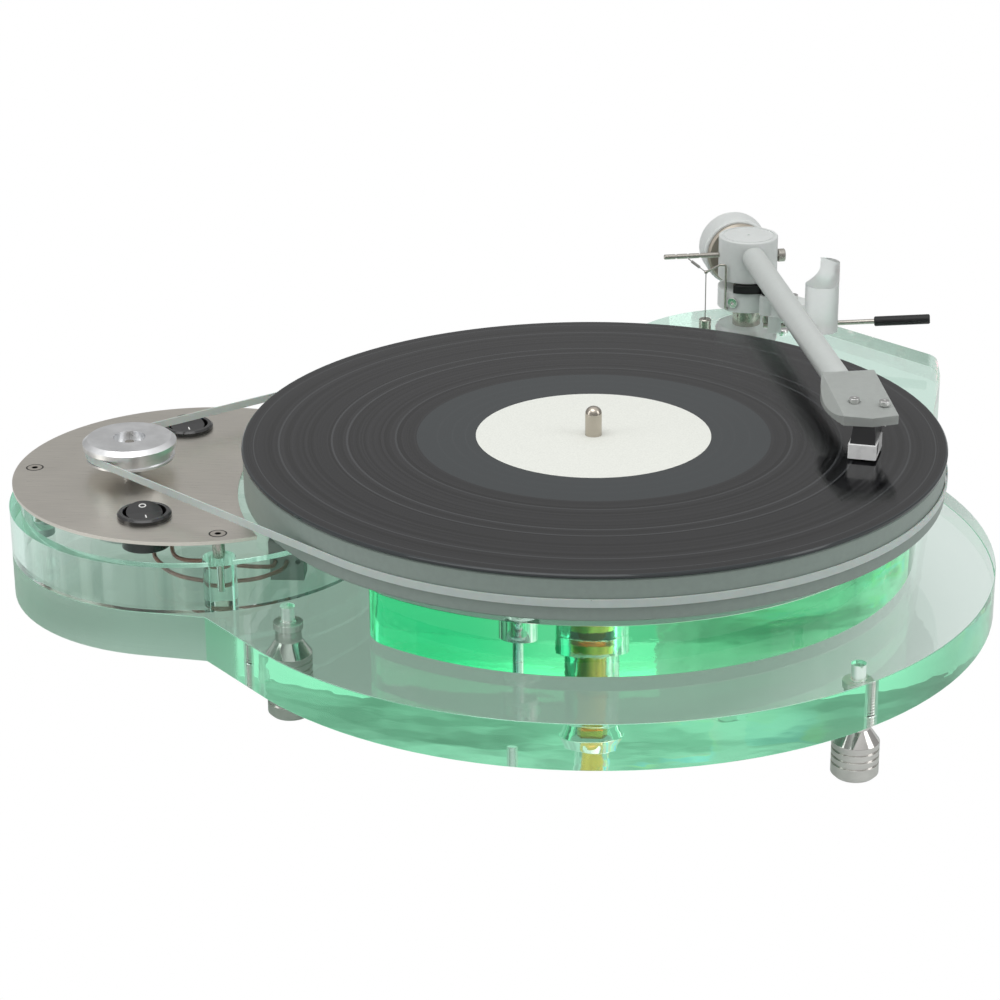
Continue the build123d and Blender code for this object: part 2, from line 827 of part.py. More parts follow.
def pivot_spike():
    tip = pivot_z - soft_gap
    spike = disc(spike_r, collar_z1 - spike_in, tip - spike_cone_h, arm_at)
    return spike + cone(spike_r, slip, tip - spike_cone_h, tip, arm_at)


def beside_arm(reach, angle, z):
    return arm_at + spot(reach, angle, z)


def bracket():
    reach = rest_reach - rest_r - slip
    arm = Box(reach, bracket_w, collar_drop, align=(Align.MIN, Align.CENTER, Align.MIN))
    arm = Pos(arm_at.X, arm_at.Y, collar_z0) * Rot(0, 0, rest_angle) * arm
    return arm - rest_post_bar(rest_r + slip)


def lift_place():
    return beside_arm(lift_reach, lift_angle, collar_z0 - lift_drop)


def lift_frame():
    # Local X runs along the lever and Y along its pivot pin
    at = lift_place()
    return Pos(at.X, at.Y, at.Z) * Rot(0, 0, lift_dir)


def lift_cheeks():
    half = lift_hub_w / 2 + turn_play
    low = -lift_hub_r
    cheeks = Part()
    for side in (-1, 1):
        middle = side * (half + lift_cheek_t / 2)
        cheeks += Pos(0, middle, low) * Box(lift_cheek_w, lift_cheek_t, lift_drop - low, align=standing)
    reach = half + lift_cheek_t
    return lift_frame() * (cheeks + bar(lift_pin_r, Vector(0, -reach, 0), Vector(0, reach, 0)))


def arm_collar():
    body = disc(collar_r, collar_z0, collar_z1, arm_at) + bracket() + lift_cheeks()
    body += disc(cue_boss_r, collar_z0, collar_z1, cue_pin_place())
    body -= disc(pillar_r + slip, collar_z0 - overrun, collar_z1 + overrun, arm_at)
    body -= disc(cue_pin_r + turn_play, collar_z0 - overrun, collar_z1 + overrun, cue_pin_place())
    body -= bar(clamp_screw_r + slip, clamp_point(pillar_r), clamp_point(collar_r + overrun))
    seat = collar_r - clamp_head_h / 2
    body -= bar(clamp_head_r + slip, clamp_point(seat), clamp_point(collar_r + clamp_head_h))
    screw_at = beside_arm(rest_screw_at, rest_angle, 0)
    body -= disc(rest_screw_r + slip, collar_mid, collar_z1 + overrun, screw_at)
    body -= bar(guide_wire_r + slip, guide_foot_at(guide_start), guide_foot_at(guide_reach * 2))
    return body


def guide_foot_at(reach):
    return beside_arm(reach, guide_angle, collar_z0 + guide_foot)


def clamp_point(reach):
    return beside_arm(reach, clamp_screw_angle, collar_mid)


def clamp_screw():
    half = clamp_head_h / 2
    head = bar(clamp_head_r, clamp_point(collar_r - half), clamp_point(collar_r + half))
    shank = bar(clamp_screw_r, clamp_point(collar_r - clamp_screw_in), clamp_point(collar_r))
    socket = bar(clamp_screw_r / 2, clamp_point(collar_r), clamp_point(collar_r + clamp_head_h))
    return head + shank - socket


def rest_screw():
    place = beside_arm(rest_screw_at, rest_angle, 0)
    top = collar_z1 + clamp_head_h
    screw = disc(rest_screw_r, collar_mid, collar_z1, place)
    screw += disc(clamp_head_r, collar_z1, top, place)
    return screw - disc(rest_screw_r / 2, top - clamp_head_h / 2, top + overrun, place)


def board_screw():
    place = arm_at + spot(board_screw_at, board_screw_angle)
    head = disc(board_screw_r, up_z1, up_z1 + board_screw_h, place)
    head = fillet(head.edges().filter_by(GeomType.CIRCLE).sort_by(Axis.Z)[-1], board_screw_round)
    return head + disc(screw_r, up_z1 - board_screw_len, up_z1, place)


def rest_post_bar(radius):
    place = beside_arm(rest_reach, rest_angle, 0)
    return disc(radius, collar_z0 - rest_below, tube_z + rest_over, place)


def arm_rest():
    # The tube swings in over the low side, and a thin horn stands up behind it as its stop
    wide = rest_cradle_r
    low = -tube_r - rest_play
    rise = low + wide
    bend = wide * cos(radians(45))
    outline = ThreePointArc((0, low), (bend, rise - bend), (wide, rise))
    outline += Polyline((wide, rise), (wide, far_cut), (-far_cut, far_cut), (-far_cut, low), (0, low))
    cut = extrude(Plane.YZ * make_face(outline), amount=far_cut, both=True)
    place = Pos(arm_at.X, arm_at.Y, tube_z) * Rot(0, 0, park_angle)
    return rest_post_bar(rest_r) - place * cut


def eye_point():
    return arm_at + Vector(guide_eye[0], guide_eye[1], collar_z1 + guide_eye_rise)


def guide_wire():
    top_z = collar_z1 + guide_top
    foot_in = guide_foot_at(guide_start)
    foot_out = guide_foot_at(guide_reach)
    top = beside_arm(guide_reach, guide_angle, top_z)
    eye = eye_point()
    shoulder = top + Vector(-guide_bend, 0, 0)
    path = FilletPolyline(foot_in, foot_out, top, shoulder, eye, radius=guide_wire_r * 2)
    section = Plane(origin=foot_in, z_dir=foot_out - foot_in) * Circle(guide_wire_r)
    body = sweep(section, path=path)
    return body + Pos(*eye) * Sphere(guide_eye_r)


def groove_point():
    return beside_arm(lever_rod_grooves[1], arm_dir - 90, tube_z - lever_rod_drop)


def side_thread():
    # From the rod's groove through the eye, with a sleeve on the slanting part
    start = groove_point() - Vector(0, 0, lever_rod_r)
    eye = eye_point()
    slant = start - eye
    low, high = [eye + slant * share for share in sleeve_shares]
    return bar(thread_r, eye, start) + bar(sleeve_r, low, high)


def side_line():
    eye = eye_point()
    bottom = eye.Z - hanger_drop + hanger_h
    return disc(thread_r, bottom, eye.Z - guide_eye_r, eye)


def side_weight():
    eye = eye_point()
    low = eye.Z - hanger_drop
    body = disc(hanger_r, low, low + hanger_h, eye)
    return chamfer(body.edges().filter_by(GeomType.CIRCLE), hanger_edge)


# The arm

def along(reach, side=0.0, z=0.0):
    # A point by its distance along the tube from the pivot, to the tube's outer side, and its height
    return arm_at + spot(reach, arm_dir) + spot(side, arm_dir + 90) + Vector(0, 0, z)


def pivot_cup():
    top = pivot_z + cup_h - cup_depth
    cup = disc(cup_r, top - cup_h, top, arm_at)
    return cup - cone(cup_r - soft_gap, soft_gap, top - cup_h, top - cup_h + cup_depth + cup_gap, arm_at)


def arm_hub():
    hub = disc(arm_hub_r, hub_z0, hub_z1, arm_at)
    hub = chamfer(hub.edges().filter_by(GeomType.CIRCLE), arm_hub_edge / 2)
    hub -= disc(arm_hub_r - arm_hub_wall, hub_z0 - overrun, pivot_z + cup_h - cup_depth + cup_gap, arm_at)
    hub -= disc(dimple_r, hub_z1 - dimple_d, hub_z1 + overrun, arm_at)
    rim = arm_hub_r - arm_hub_edge * 2
    ring = disc(rim, hub_z1 - arm_hub_edge / 2, hub_z1, arm_at)
    hub -= ring - disc(rim - arm_hub_edge, hub_z0, hub_z1, arm_at)
    inner = arm_hub_r - arm_hub_wall + overrun
    hub -= bar(tube_r + slip, along(inner, z=tube_z), along(arm_hub_r * 2, z=tube_z))
    tail_z = tube_z - tail_drop
    hub -= bar(tail_r + slip, along(-inner, z=tail_z), along(-arm_hub_r * 2, z=tail_z))
    rod_z = tube_z - lever_rod_drop
    hub -= bar(lever_rod_r + slip, along(0, -inner, rod_z), along(0, -arm_hub_r * 2, rod_z))
    knob_z = tube_z - knob_drop
    start = arm_hub_r - knob_stud_in
    return hub - bar(knob_stud_r + turn_play, along(0, start, knob_z), along(0, arm_hub_r * 2, knob_z))


def arm_tube():
    inner = arm_hub_r - arm_hub_wall + overrun
    tube = bar(tube_r, along(inner, z=tube_z), along(shell_back - slip, z=tube_z))
    return tube - bar(tube_r - tube_wall, along(inner - overrun, z=tube_z), along(shell_back, z=tube_z))


def shell_top_z():
    return tube_z + shell_top_over_tube


def shell_blank():
    # The headshell's outline, with its left flank as an arc
    side = -shell_left
    heel, swell, toe = (shell_back, side), (shell_bulge_at, side - shell_bulge), (shell_front - shell_nose, side)
    nose = (shell_front + shell_nose, shell_nose_side)
    corners = (heel, (shell_back, shell_right), (shell_front, shell_right), nose, toe, swell)
    points = [(along(*corner).X, along(*corner).Y) for corner in corners]
    outline = Polyline(*points[:-1]) + ThreePointArc(points[-2], points[-1], points[0])
    return slab(outline, shell_floor_z(), shell_top_z() + tube_r)


def shell_floor_z():
    return shell_top_z() - shell_slope - shell_t


def shell_seat_z():
    return shell_floor_z() + shell_seat_h


def headshell():
    # Cut by a top plane that falls to the front, and by one that falls away over the flank
    across = spot(1, arm_dir + 90)
    heel = along(shell_back, -shell_left, shell_top_z())
    ahead = along(shell_front, -shell_left, shell_top_z() - shell_slope) - heel
    away = -across * cos(radians(shell_fall)) - Vector(0, 0, sin(radians(shell_fall)))
    body = shell_blank()
    for normal in (ahead.cross(across), away.cross(ahead)):
        body = split(body, bisect_by=Plane(origin=heel, z_dir=normal), keep=Keep.BOTTOM)
    peg_r = tube_r - tube_wall - slip
    body += bar(peg_r, along(shell_back - shell_peg_len, z=tube_z), along(shell_back, z=tube_z))
    for side in (-1, 1):
        place = cart_point(cart_screw_back, side * cart_screw_pitch / 2, 0)
        body -= disc(cart_screw_r + slip, shell_floor_z() - overrun, shell_top_z() + overrun, place)
        room = cart_head_r + cart_head_room
        body -= disc(room, shell_seat_z(), shell_top_z() + overrun, place)
    return body


def stylus_at():
    return along(arm_len)


def cart_point(back, side, z):
    # A point behind the cartridge's front and to its outer side
    heading = arm_dir - offset_angle
    front = stylus_at() + spot(cart_front, heading)
    return front - spot(back, heading) + spot(side, heading + 90) + Vector(0, 0, z)


def cart_place(z):
    at = cart_point(0, 0, z)
    return Pos(at.X, at.Y, at.Z) * Rot(0, 0, arm_dir - offset_angle)


def cartridge_shell():
    z = rec_z1 + cart_lift
    body = Box(cart_len, cart_w, cart_white_h, align=behind)
    body = chamfer(body.edges().filter_by(Axis.Z), cart_edge)
    eye = bar(cart_eye_r, Vector(-cart_eye_at, cart_w / 2 - cart_eye_d, cart_white_h / 2),
              Vector(-cart_eye_at, cart_w, cart_white_h / 2))
    return cart_place(z) * (body - eye)


def cartridge_body():
    z = rec_z1 + cart_lift + cart_white_h
    high = shell_floor_z() - z
    back_edge = (Align.MAX, Align.CENTER)
    low_len = cart_black_len - cart_black_front
    top_len = low_len - cart_black_lean
    low_face = Rectangle(low_len, cart_black_w, align=back_edge)
    top_face = Pos(-cart_black_lean, 0, high) * Rectangle(top_len, cart_black_top_w, align=back_edge)
    body = Pos(-cart_black_front, 0, 0) * loft([low_face, top_face])
    flange = Box(cart_flange_len, cart_flange_w, cart_flange_t, align=standing)
    body += Pos(-cart_screw_back, 0, high - cart_flange_t) * flange
    for side in (-1, 1):
        hole = Cylinder(cart_screw_r + slip, far_cut)
        body -= Pos(-cart_screw_back, side * cart_screw_pitch / 2, 0) * hole
    return cart_place(z) * body


def cartridge_screws():
    seat = shell_seat_z()
    screws = []
    for side in (-1, 1):
        place = cart_point(cart_screw_back, side * cart_screw_pitch / 2, 0)
        screw = disc(cart_screw_r, shell_floor_z() - cart_flange_t * 2, seat, place)
        screw += disc(cart_head_r, seat, seat + cart_head_h, place)
        socket = disc(cart_screw_r / 2, seat + cart_head_h / 2, seat + cart_head_h * 2, place)
        screws.append(screw - socket)
    return screws


def stylus():
    top = rec_z1 + cart_lift
    tip = rec_z1 + stylus_gap
    arm = Box(stylus_len, stylus_w, stylus_t, align=(Align.MAX, Align.CENTER, Align.MAX))
    body = cart_point(cart_front - stylus_w / 2, 0, top)
    holder = Pos(body.X, body.Y, body.Z) * Rot(0, 0, arm_dir - offset_angle) * arm
    return holder + cone(slip, stylus_tip_r, tip, top - stylus_t, stylus_at())


# The counterweight and what else the hub carries

def tail_rod():
    z = tube_z - tail_drop
    inner = arm_hub_r - arm_hub_wall + overrun
    return bar(tail_r, along(-inner, z=z), along(-tail_len, z=z))


def round_block(radius, near, far):
    z = tube_z - tail_drop - weight_drop
    block = bar(radius, along(-near, z=z), along(-far, z=z))
    return chamfer(block.edges().filter_by(GeomType.CIRCLE), weight_edge)


def tail_hole():
    z = tube_z - tail_drop
    return bar(tail_r + turn_play, along(0, z=z), along(-tail_len * 2, z=z))


def counterweight():
    return round_block(weight_r, weight_at, weight_at + weight_len) - tail_hole()


def counterweight_face():
    return round_block(weight_face_r, weight_at - weight_face_t, weight_at) - tail_hole()


def lever_rod():
    z = tube_z - lever_rod_drop
    inner = arm_hub_r - arm_hub_wall + overrun
    rod = bar(lever_rod_r, along(0, -inner, z), along(0, -lever_rod_len, z))
    rod = chamfer(rod.edges().filter_by(GeomType.CIRCLE), lever_rod_groove)
    for reach in lever_rod_grooves:
        half = lever_rod_groove_w / 2
        near, far = along(0, half - reach, z), along(0, -half - reach, z)
        rod -= bar(lever_rod_r * 2, near, far) - bar(lever_rod_r - lever_rod_groove, near, far)
    return rod


def side_knob():
    z = tube_z - knob_drop
    near = arm_hub_r + knob_gap
    knob = bar(knob_r, along(0, near, z), along(0, near + knob_len, z))
    knob = chamfer(knob.edges().filter_by(GeomType.CIRCLE), knob_edge)
    stud = bar(knob_stud_r, along(0, arm_hub_r - knob_stud_in + slip, z), along(0, near, z))
    end = near + knob_len
    return knob + stud - bar(knob_stud_r / 2, along(0, end - knob_len / 2, z), along(0, end + overrun, z))


# The arm lift

def cue_pin_place():
    return lift_place() - spot(lift_short, lift_dir)


def cue_bar():
    top = hub_z0 - cue_gap
    low = top - cue_h
    ring = disc(cue_outer_r, low, top, arm_at) - disc(cue_inner_r, low - overrun, top + overrun, arm_at)
    start, end = cue_angles
    wedge = [arm_at] + [arm_at + spot(far_cut, angle) for angle in (start, (start + end) / 2, end)]
    sector = ring & slab(Polyline(*[(p.X, p.Y) for p in wedge], close=True), low, top)
    return sector + disc(cue_lug_r, low, top, cue_pin_place())


def cue_pin():
    top = hub_z0 - cue_gap - cue_h
    low = lift_place().Z + lift_rod_r + soft_gap
    return disc(cue_pin_r, low, top, cue_pin_place())


def lift_lever():
    half = lift_hub_w / 2
    hub = bar(lift_hub_r, Vector(0, -half, 0), Vector(0, half, 0))
    slope = Rot(0, -lift_rise, 0)
    rod = slope * bar(lift_rod_r, Vector(0, 0, 0), Vector(lift_rod_len, 0, 0))
    tail = bar(lift_rod_r, Vector(0, 0, 0), Vector(-lift_short - lift_rod_r, 0, 0))
    lever = hub + rod + tail
    lever -= bar(lift_pin_r + turn_play, Vector(0, -half * 2, 0), Vector(0, half * 2, 0))
    return lift_frame() * lever


def lift_grip():
    start = Vector(lift_rod_len - lift_grip_on, 0, 0)
    grip = bar(lift_grip_r, start, start + Vector(lift_grip_len, 0, 0))
    grip = chamfer(grip.edges().filter_by(GeomType.CIRCLE), lift_grip_edge)
    grip -= bar(lift_rod_r + slip, start - Vector(overrun, 0, 0), Vector(lift_rod_len + slip, 0, 0))
    return lift_frame() * Rot(0, -lift_rise, 0) * grip


pieces = {
    "lower_plinth": lower_plinth(),
    "upper_plinth": upper_plinth(),
    "decoupler_pads": decoupler_pads(),
    "decoupler_screws": [decoupler_screw(angle) for angle in decoupler_angles],
    "foot_nuts": foot_nuts(),
    "bearing_housing": bearing_housing(),
    "bearing_nut": bearing_nut(),
    "bearing_shaft": bearing_shaft(),
    "platter": platter(),
    "record": record(),
    "record_label": record_label(),
    "drive_belt": drive_belt(),
    "pod_drum": pod_drum(),
    "power_inlet": power_inlet(),
    "top_plate": top_plate(),
    "plate_spacers": plate_spacers(),
    "plate_screws": plate_screws(),
    "motor": motor(),
    "motor_shaft": motor_shaft(),
    "pulley": pulley(),
    "pulley_screw": pulley_screw(),
    "terminal_block": terminal_block(),
    "pod_wires": pod_wires(),
    "arm_ring": arm_ring(),
    "arm_pillar": arm_pillar(),
    "pivot_spike": pivot_spike(),
    "arm_collar": arm_collar(),
    "clamp_screw": clamp_screw(),
    "rest_screw": rest_screw(),
    "board_screw": board_screw(),
    "arm_rest": arm_rest(),
    "guide_wire": guide_wire(),
    "side_thread": side_thread(),
    "side_line": side_line(),
    "side_weight": side_weight(),
    "pivot_cup": pivot_cup(),
    "arm_hub": arm_hub(),
    "arm_tube": arm_tube(),
    "headshell": headshell(),
    "cartridge_body": cartridge_body(),
    "cartridge_shell": cartridge_shell(),
    "cartridge_screws": cartridge_screws(),
    "stylus": stylus(),
    "tail_rod": tail_rod(),
    "counterweight": counterweight(),
    "counterweight_face": counterweight_face(),
    "lever_rod": lever_rod(),
    "side_knob": side_knob(),
    "cue_bar": cue_bar(),
    "cue_pin": cue_pin(),
    "lift_lever": lift_lever(),
    "lift_grip": lift_grip(),
}
for number, (reach, angle) in enumerate(foot_places):
    pieces[f"foot_{number}"] = foot(reach, angle)
for name, side in (("front", -1), ("rear", 1)):
    pieces[f"switch_{name}"] = switch_bezel(side)
    pieces[f"rocker_{name}"] = rocker(side)

# The middle of the whole, between the pod's and the lower board's sides, and from its front to the tail rod's end
middle_x = (lower_r - pod_x - lobe_r) / 2
tail_end_y = along(-tail_len).Y + tail_r * cos(radians(arm_dir))
middle_y = (tail_end_y - lower_r) / 2

os.makedirs("parts", exist_ok=True)
for name, shape in pieces.items():
    whole = Compound(shape) if isinstance(shape, list) else shape
    export_step(Pos(-middle_x, -middle_y, 0) * whole, f"parts/{name}.step")
print(len(pieces), "pieces")
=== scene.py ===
import math
import bmesh
import bpy
from mathutils import Matrix, Vector


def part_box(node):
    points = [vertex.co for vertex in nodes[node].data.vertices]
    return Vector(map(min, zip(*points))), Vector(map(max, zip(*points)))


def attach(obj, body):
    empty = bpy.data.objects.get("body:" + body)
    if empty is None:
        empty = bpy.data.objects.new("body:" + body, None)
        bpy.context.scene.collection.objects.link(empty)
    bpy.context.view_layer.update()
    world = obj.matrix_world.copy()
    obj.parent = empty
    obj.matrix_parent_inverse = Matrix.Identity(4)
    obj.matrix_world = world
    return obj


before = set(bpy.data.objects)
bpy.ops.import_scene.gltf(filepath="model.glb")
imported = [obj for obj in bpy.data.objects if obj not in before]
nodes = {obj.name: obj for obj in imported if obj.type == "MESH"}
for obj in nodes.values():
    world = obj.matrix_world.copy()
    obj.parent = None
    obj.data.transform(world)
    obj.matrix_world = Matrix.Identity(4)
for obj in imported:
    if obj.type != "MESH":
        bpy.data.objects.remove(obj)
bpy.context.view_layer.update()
print("frame loaded:", len(nodes), "nodes")


def middleOf(node):
    low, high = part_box(node)
    return (low + high) / 2


axle = middleOf("record_label")
armAxis = middleOf("arm_pillar")
podAxis = middleOf("pod_drum")
pulleyAxis = middleOf("pulley")


def spot(x, y, z):
    # a point in millimetres from the platter's axis and the floor
    return Vector((axle.x + x / 1000, axle.y + y / 1000, z / 1000))


def heading(angle):
    # a level direction, by its angle in degrees from the right
    turn = math.radians(angle)
    return Vector((math.cos(turn), math.sin(turn), 0))


def tone(*screen):
    # a colour from three 8-bit screen values
    shares = [value / 255 for value in screen]
    return (*(c / 12.92 if c < 0.0404 else ((c + 0.055) / 1.055) ** 2.4 for c in shares), 1.0)


# Shader maths

white = (1, 1, 1, 1)


class Num:
    def __init__(self, graph, socket):
        self.graph = graph
        self.socket = socket

    def math(self, operation, *others):
        return self.graph.node("Math", dict(enumerate((self, *others))), operation=operation)

    def __add__(self, other):
        return self.math("ADD", other)

    def __sub__(self, other):
        return self.math("SUBTRACT", other)

    def __rsub__(self, other):
        return self.graph.node("Math", {0: other, 1: self}, operation="SUBTRACT")

    def __mul__(self, other):
        return self.math("MULTIPLY", other)

    __radd__ = __add__
    __rmul__ = __mul__

    def ramp(self, low, high):
        # 0 below low, 1 above high, smooth between
        values = {"Value": self, "From Min": low, "From Max": high}
        return self.graph.node("MapRange", values, interpolation_type="SMOOTHSTEP")

    def band(self, low, high, soft):
        # 1 between low and high, fading out over a soft edge on each side
        return self.ramp(low - soft, low) * (1 - self.ramp(high, high + soft))


class Graph:
    # the nodes of a material or of the world
    def __init__(self, tree):
        self.tree = tree

    def feed(self, socket, value):
        if isinstance(value, Num):
            self.tree.links.new(value.socket, socket)
        else:
            socket.default_value = value

    def node(self, kind, inputs=None, output=0, **settings):
        made = self.tree.nodes.new("ShaderNode" + kind)
        for key, value in settings.items():
            setattr(made, key, value)
        for key, value in (inputs or {}).items():
            self.feed(made.inputs[key], value)
        return Num(self, made.outputs[output])

    def mix(self, factor, first, second):
        return self.node("Mix", {0: factor, 6: first, 7: second}, 2, data_type="RGBA", clamp_factor=True)

    def vector(self, operation, first, second):
        name = "Scale" if operation == "SCALE" else 1
        return self.node("VectorMath", {0: first, name: second}, operation=operation)

    def parts(self, vector):
        return [self.node("SeparateXYZ", {0: vector}, axis) for axis in ("X", "Y", "Z")]

    def place(self, centre=(0, 0, 0)):
        # millimetres from a point of the frame
        spread = self.node("TexCoord", output="Object")
        return self.vector("SCALE", self.vector("SUBTRACT", spread, tuple(centre)), 1000)

    def around(self, centre):
        # distance from a vertical axis, distance to its right, and height, in millimetres
        x, y, z = self.parts(self.place((centre.x, centre.y, 0)))
        return (x * x + y * y).math("SQRT"), x, z

    def noise(self, vector, scale, detail, stretch=(1, 1, 1), rough=0.5):
        moved = self.vector("MULTIPLY", vector, stretch)
        values = {"Vector": moved, "Scale": scale, "Detail": detail, "Roughness": rough}
        return self.node("TexNoise", values)

    def lines(self, along, scale, detail, rough=0.5):
        # noise along one number, such as a radius
        values = {"W": along, "Scale": scale, "Detail": detail, "Roughness": rough}
        return self.node("TexNoise", values, noise_dimensions="1D")


class Shader(Graph):
    def __init__(self, name, values):
        self.material = bpy.data.materials.new(name)
        self.material.use_nodes = True
        super().__init__(self.material.node_tree)
        self.surface = self.tree.nodes["Principled BSDF"]
        self.output = self.tree.nodes["Material Output"]
        for key, value in values.items():
            self.set(key, value)

    def set(self, name, value):
        self.feed(self.surface.inputs[name], value)

    def bump(self, height, distance, strength=1.0):
        values = {"Height": height, "Distance": distance, "Strength": strength}
        self.set("Normal", self.node("Bump", values))

    def mottle(self, mask, colour, share):
        # the colour, down to a share of itself where the mask is 0
        dark = (*(c * share for c in colour[:3]), 1)
        self.set("Base Color", self.mix(mask, dark, colour))

    def roughen(self, noise, rough, swing):
        # a roughness that swings about its middle with the noise
        self.set("Roughness", noise * swing + (rough - swing / 2))


def across(shader):
    # millimetres to the right of the platter's axis
    return shader.parts(shader.place(axle))[0]


def sides(shader):
    # 1 on faces that stand upright, 0 on level ones
    look = {"upright": 0.3, "level": 0.5}
    tilt = shader.parts(shader.node("NewGeometry", output="Normal"))[2].math("ABSOLUTE")
    return 1 - tilt.ramp(look["upright"], look["level"])


# Clear acrylic


def acrylic(name, tint, density):
    # clear material that is tinted by the length of the light's way inside it
    shader = Shader(name, {"Base Color": white, "Roughness": 0.0, "IOR": 1.49,
                           "Transmission Weight": 1.0})
    inside = shader.node("VolumeAbsorption", {"Color": tint, "Density": density})
    shader.tree.links.new(inside.socket, shader.output.inputs["Volume"])
    return shader


def innerGlow(shader, dim, lit, rainbow):
    # painted glow: emission that stands in for light that has run along inside the sheet for longer than
    # the renderer follows it
    look = {"bounces": 3.5, "flow": (0.03, 3.0, (1, 1, 0.4), 0.6), "flowing": (0.36, 0.62),
            "hue": (0.12, 1.0, (1, 1, 0.3)), "turns": ((0.40, 0.50), (0.50, 0.60)),
            "red": (1.3, 0.45, 0.5, 1), "yellow": (1.1, 1.0, 0.25, 1), "blue": (0.15, 0.7, 1.3, 1),
            "patch": (0.022, 1.0, (1, 1, 0.2)), "patchy": (0.60, 0.68), "right": (-20.0, 40.0)}
    where = shader.place()
    deep = shader.node("LightPath", output="Glossy Depth").math("GREATER_THAN", look["bounces"])
    glow = shader.mix(shader.noise(where, *look["flow"]).ramp(*look["flowing"]), dim, lit)
    # painted light: faint rainbow patches of emitted colour at the right, where the light leaves through an
    # edge
    hue = shader.noise(where, *look["hue"])
    warm = shader.mix(hue.ramp(*look["turns"][0]), look["red"], look["yellow"])
    colours = shader.mix(hue.ramp(*look["turns"][1]), warm, look["blue"])
    patch = shader.noise(where, *look["patch"]).ramp(*look["patchy"])
    patch = patch * across(shader).ramp(*look["right"]) * rainbow
    shader.set("Emission Color", shader.mix(deep, (0, 0, 0, 1), shader.mix(patch, glow, colours)))
    shader.set("Emission Strength", 1.0)
    shader.material.cycles.emission_sampling = "NONE"


def uneven(shader, marks=None):
    # the slow waves of a cast sheet, with the marks given or else fine ones
    look = {"waves": (0.035, 2.0), "fine": (0.5, 2.0, (1, 1, 2)), "share": 0.05, "height": 0.0001}
    where = shader.place()
    marks = marks or shader.noise(where, *look["fine"]) * look["share"]
    shader.bump(shader.noise(where, *look["waves"]) + marks, look["height"])


def lowerAcrylic():
    # the lower board, whose round lobe under the pod has a satin, finely turned edge
    look = {"tint": (0.17, 0.90, 0.58, 1), "density": 5.0, "dim": (0.18, 0.19, 0.18, 1),
            "lit": (0.45, 0.43, 0.43, 1), "rainbow": 0.55, "lobe": (81.4, 81.7), "neck": (30.0, 34.0),
            "satin": 0.34, "haze": (0.78, 0.62, 0.67, 1), "right": (116.0, 150.0),
            "shade": (0.56, 0.54, 0.54, 1), "turning": (1.6, 1.0), "cut": 0.35}
    shader = acrylic("boardAcrylic", look["tint"], look["density"])
    innerGlow(shader, look["dim"], look["lit"], look["rainbow"])
    reach, x, z = shader.around(podAxis)
    edge = reach.ramp(*look["lobe"]) * (1 - x.ramp(*look["neck"])) * sides(shader)
    shader.set("Roughness", edge * look["satin"])
    # the rim is darker at the far right, where it turns away from the light
    far = across(shader).ramp(*look["right"]) * sides(shader)
    body = shader.mix(far, white, look["shade"])
    shader.set("Base Color", shader.mix(edge, body, look["haze"]))
    uneven(shader, shader.lines(z, *look["turning"]) * edge * look["cut"])
    return shader


def upperAcrylic():
    # the upper board, whose edge has a painted shade of deep green at the left and a painted pink glow at
    # the right
    look = {"tint": (0.06, 0.90, 0.54, 1), "density": 8.5, "rainbow": 0.55, "turn": (-70.0, 110.0),
            "dim": ((0.0, 0.05, 0.03, 1), (0.7, 0.30, 0.40, 1)),
            "lit": ((0.0, 0.17, 0.11, 1), (2.6, 0.8, 1.2, 1)),
            "left": (-45.0, -5.0), "edge": (0.16, 0.80, 0.62, 1)}
    shader = acrylic("upperAcrylic", look["tint"], look["density"])
    # painted glow: the glow inside the sheet turns pink towards the right
    right = across(shader).ramp(*look["turn"])
    innerGlow(shader, shader.mix(right, *look["dim"]), shader.mix(right, *look["lit"]), look["rainbow"])
    # painted shade: the upright sides at the left are tinted a deeper green
    shadedLeftSides = sides(shader) * (1 - across(shader).ramp(*look["left"]))
    shader.set("Base Color", shader.mix(shadedLeftSides, white, look["edge"]))
    uneven(shader)
    return shader


def drumAcrylic():
    # the open drum, whose milled inner wall shows upright streaks
    look = {"tint": (0.30, 0.92, 0.70, 1), "density": 24.0, "dim": (0.04, 0.05, 0.05, 1),
            "lit": (0.45, 0.47, 0.46, 1), "rainbow": 0.0, "inner": (77.5, 78.5),
            "streaks": (0.06, 3.0, (1, 1, 0.04)), "streaky": (0.45, 0.56), "grey": (0.58, 0.66, 0.63, 1)}
    shader = acrylic("drumAcrylic", look["tint"], look["density"])
    innerGlow(shader, look["dim"], look["lit"], look["rainbow"])
    wall = sides(shader) * (1 - shader.around(podAxis)[0].ramp(*look["inner"]))
    streaks = shader.noise(shader.place(podAxis), *look["streaks"]).ramp(*look["streaky"])
    shader.set("Base Color", shader.mix(wall * streaks, white, look["grey"]))
    uneven(shader)
    return shader


# Other plastics, metals, rubber and paper


def frosted(name, colour, rough, mottle, lines=0.0, soft=0.0, clear=0.0):
    # a satin skin over a body that may let light in; lines are level marks of turning
    look = {"grain": (0.35, 4.0), "spread": (0.3, 0.7), "pores": (4.0, 2.0), "poresShare": 0.3,
            "marks": (1.0, 2.0, (0.02, 0.02, 3.5)), "height": 0.00006, "strength": 0.7}
    shader = Shader(name, {"Roughness": rough, "IOR": 1.49, "Transmission Weight": clear,
                           "Subsurface Weight": soft, "Subsurface Radius": (1.0, 1.0, 1.0),
                           "Subsurface Scale": 0.003})
    where = shader.place()
    shader.mottle(shader.noise(where, *look["grain"]).ramp(*look["spread"]), colour, 1 - mottle)
    height = shader.noise(where, *look["pores"])
    if lines:
        height = height * look["poresShare"] + shader.noise(where, *look["marks"]) * lines
    shader.bump(height, look["height"], look["strength"])
    return shader


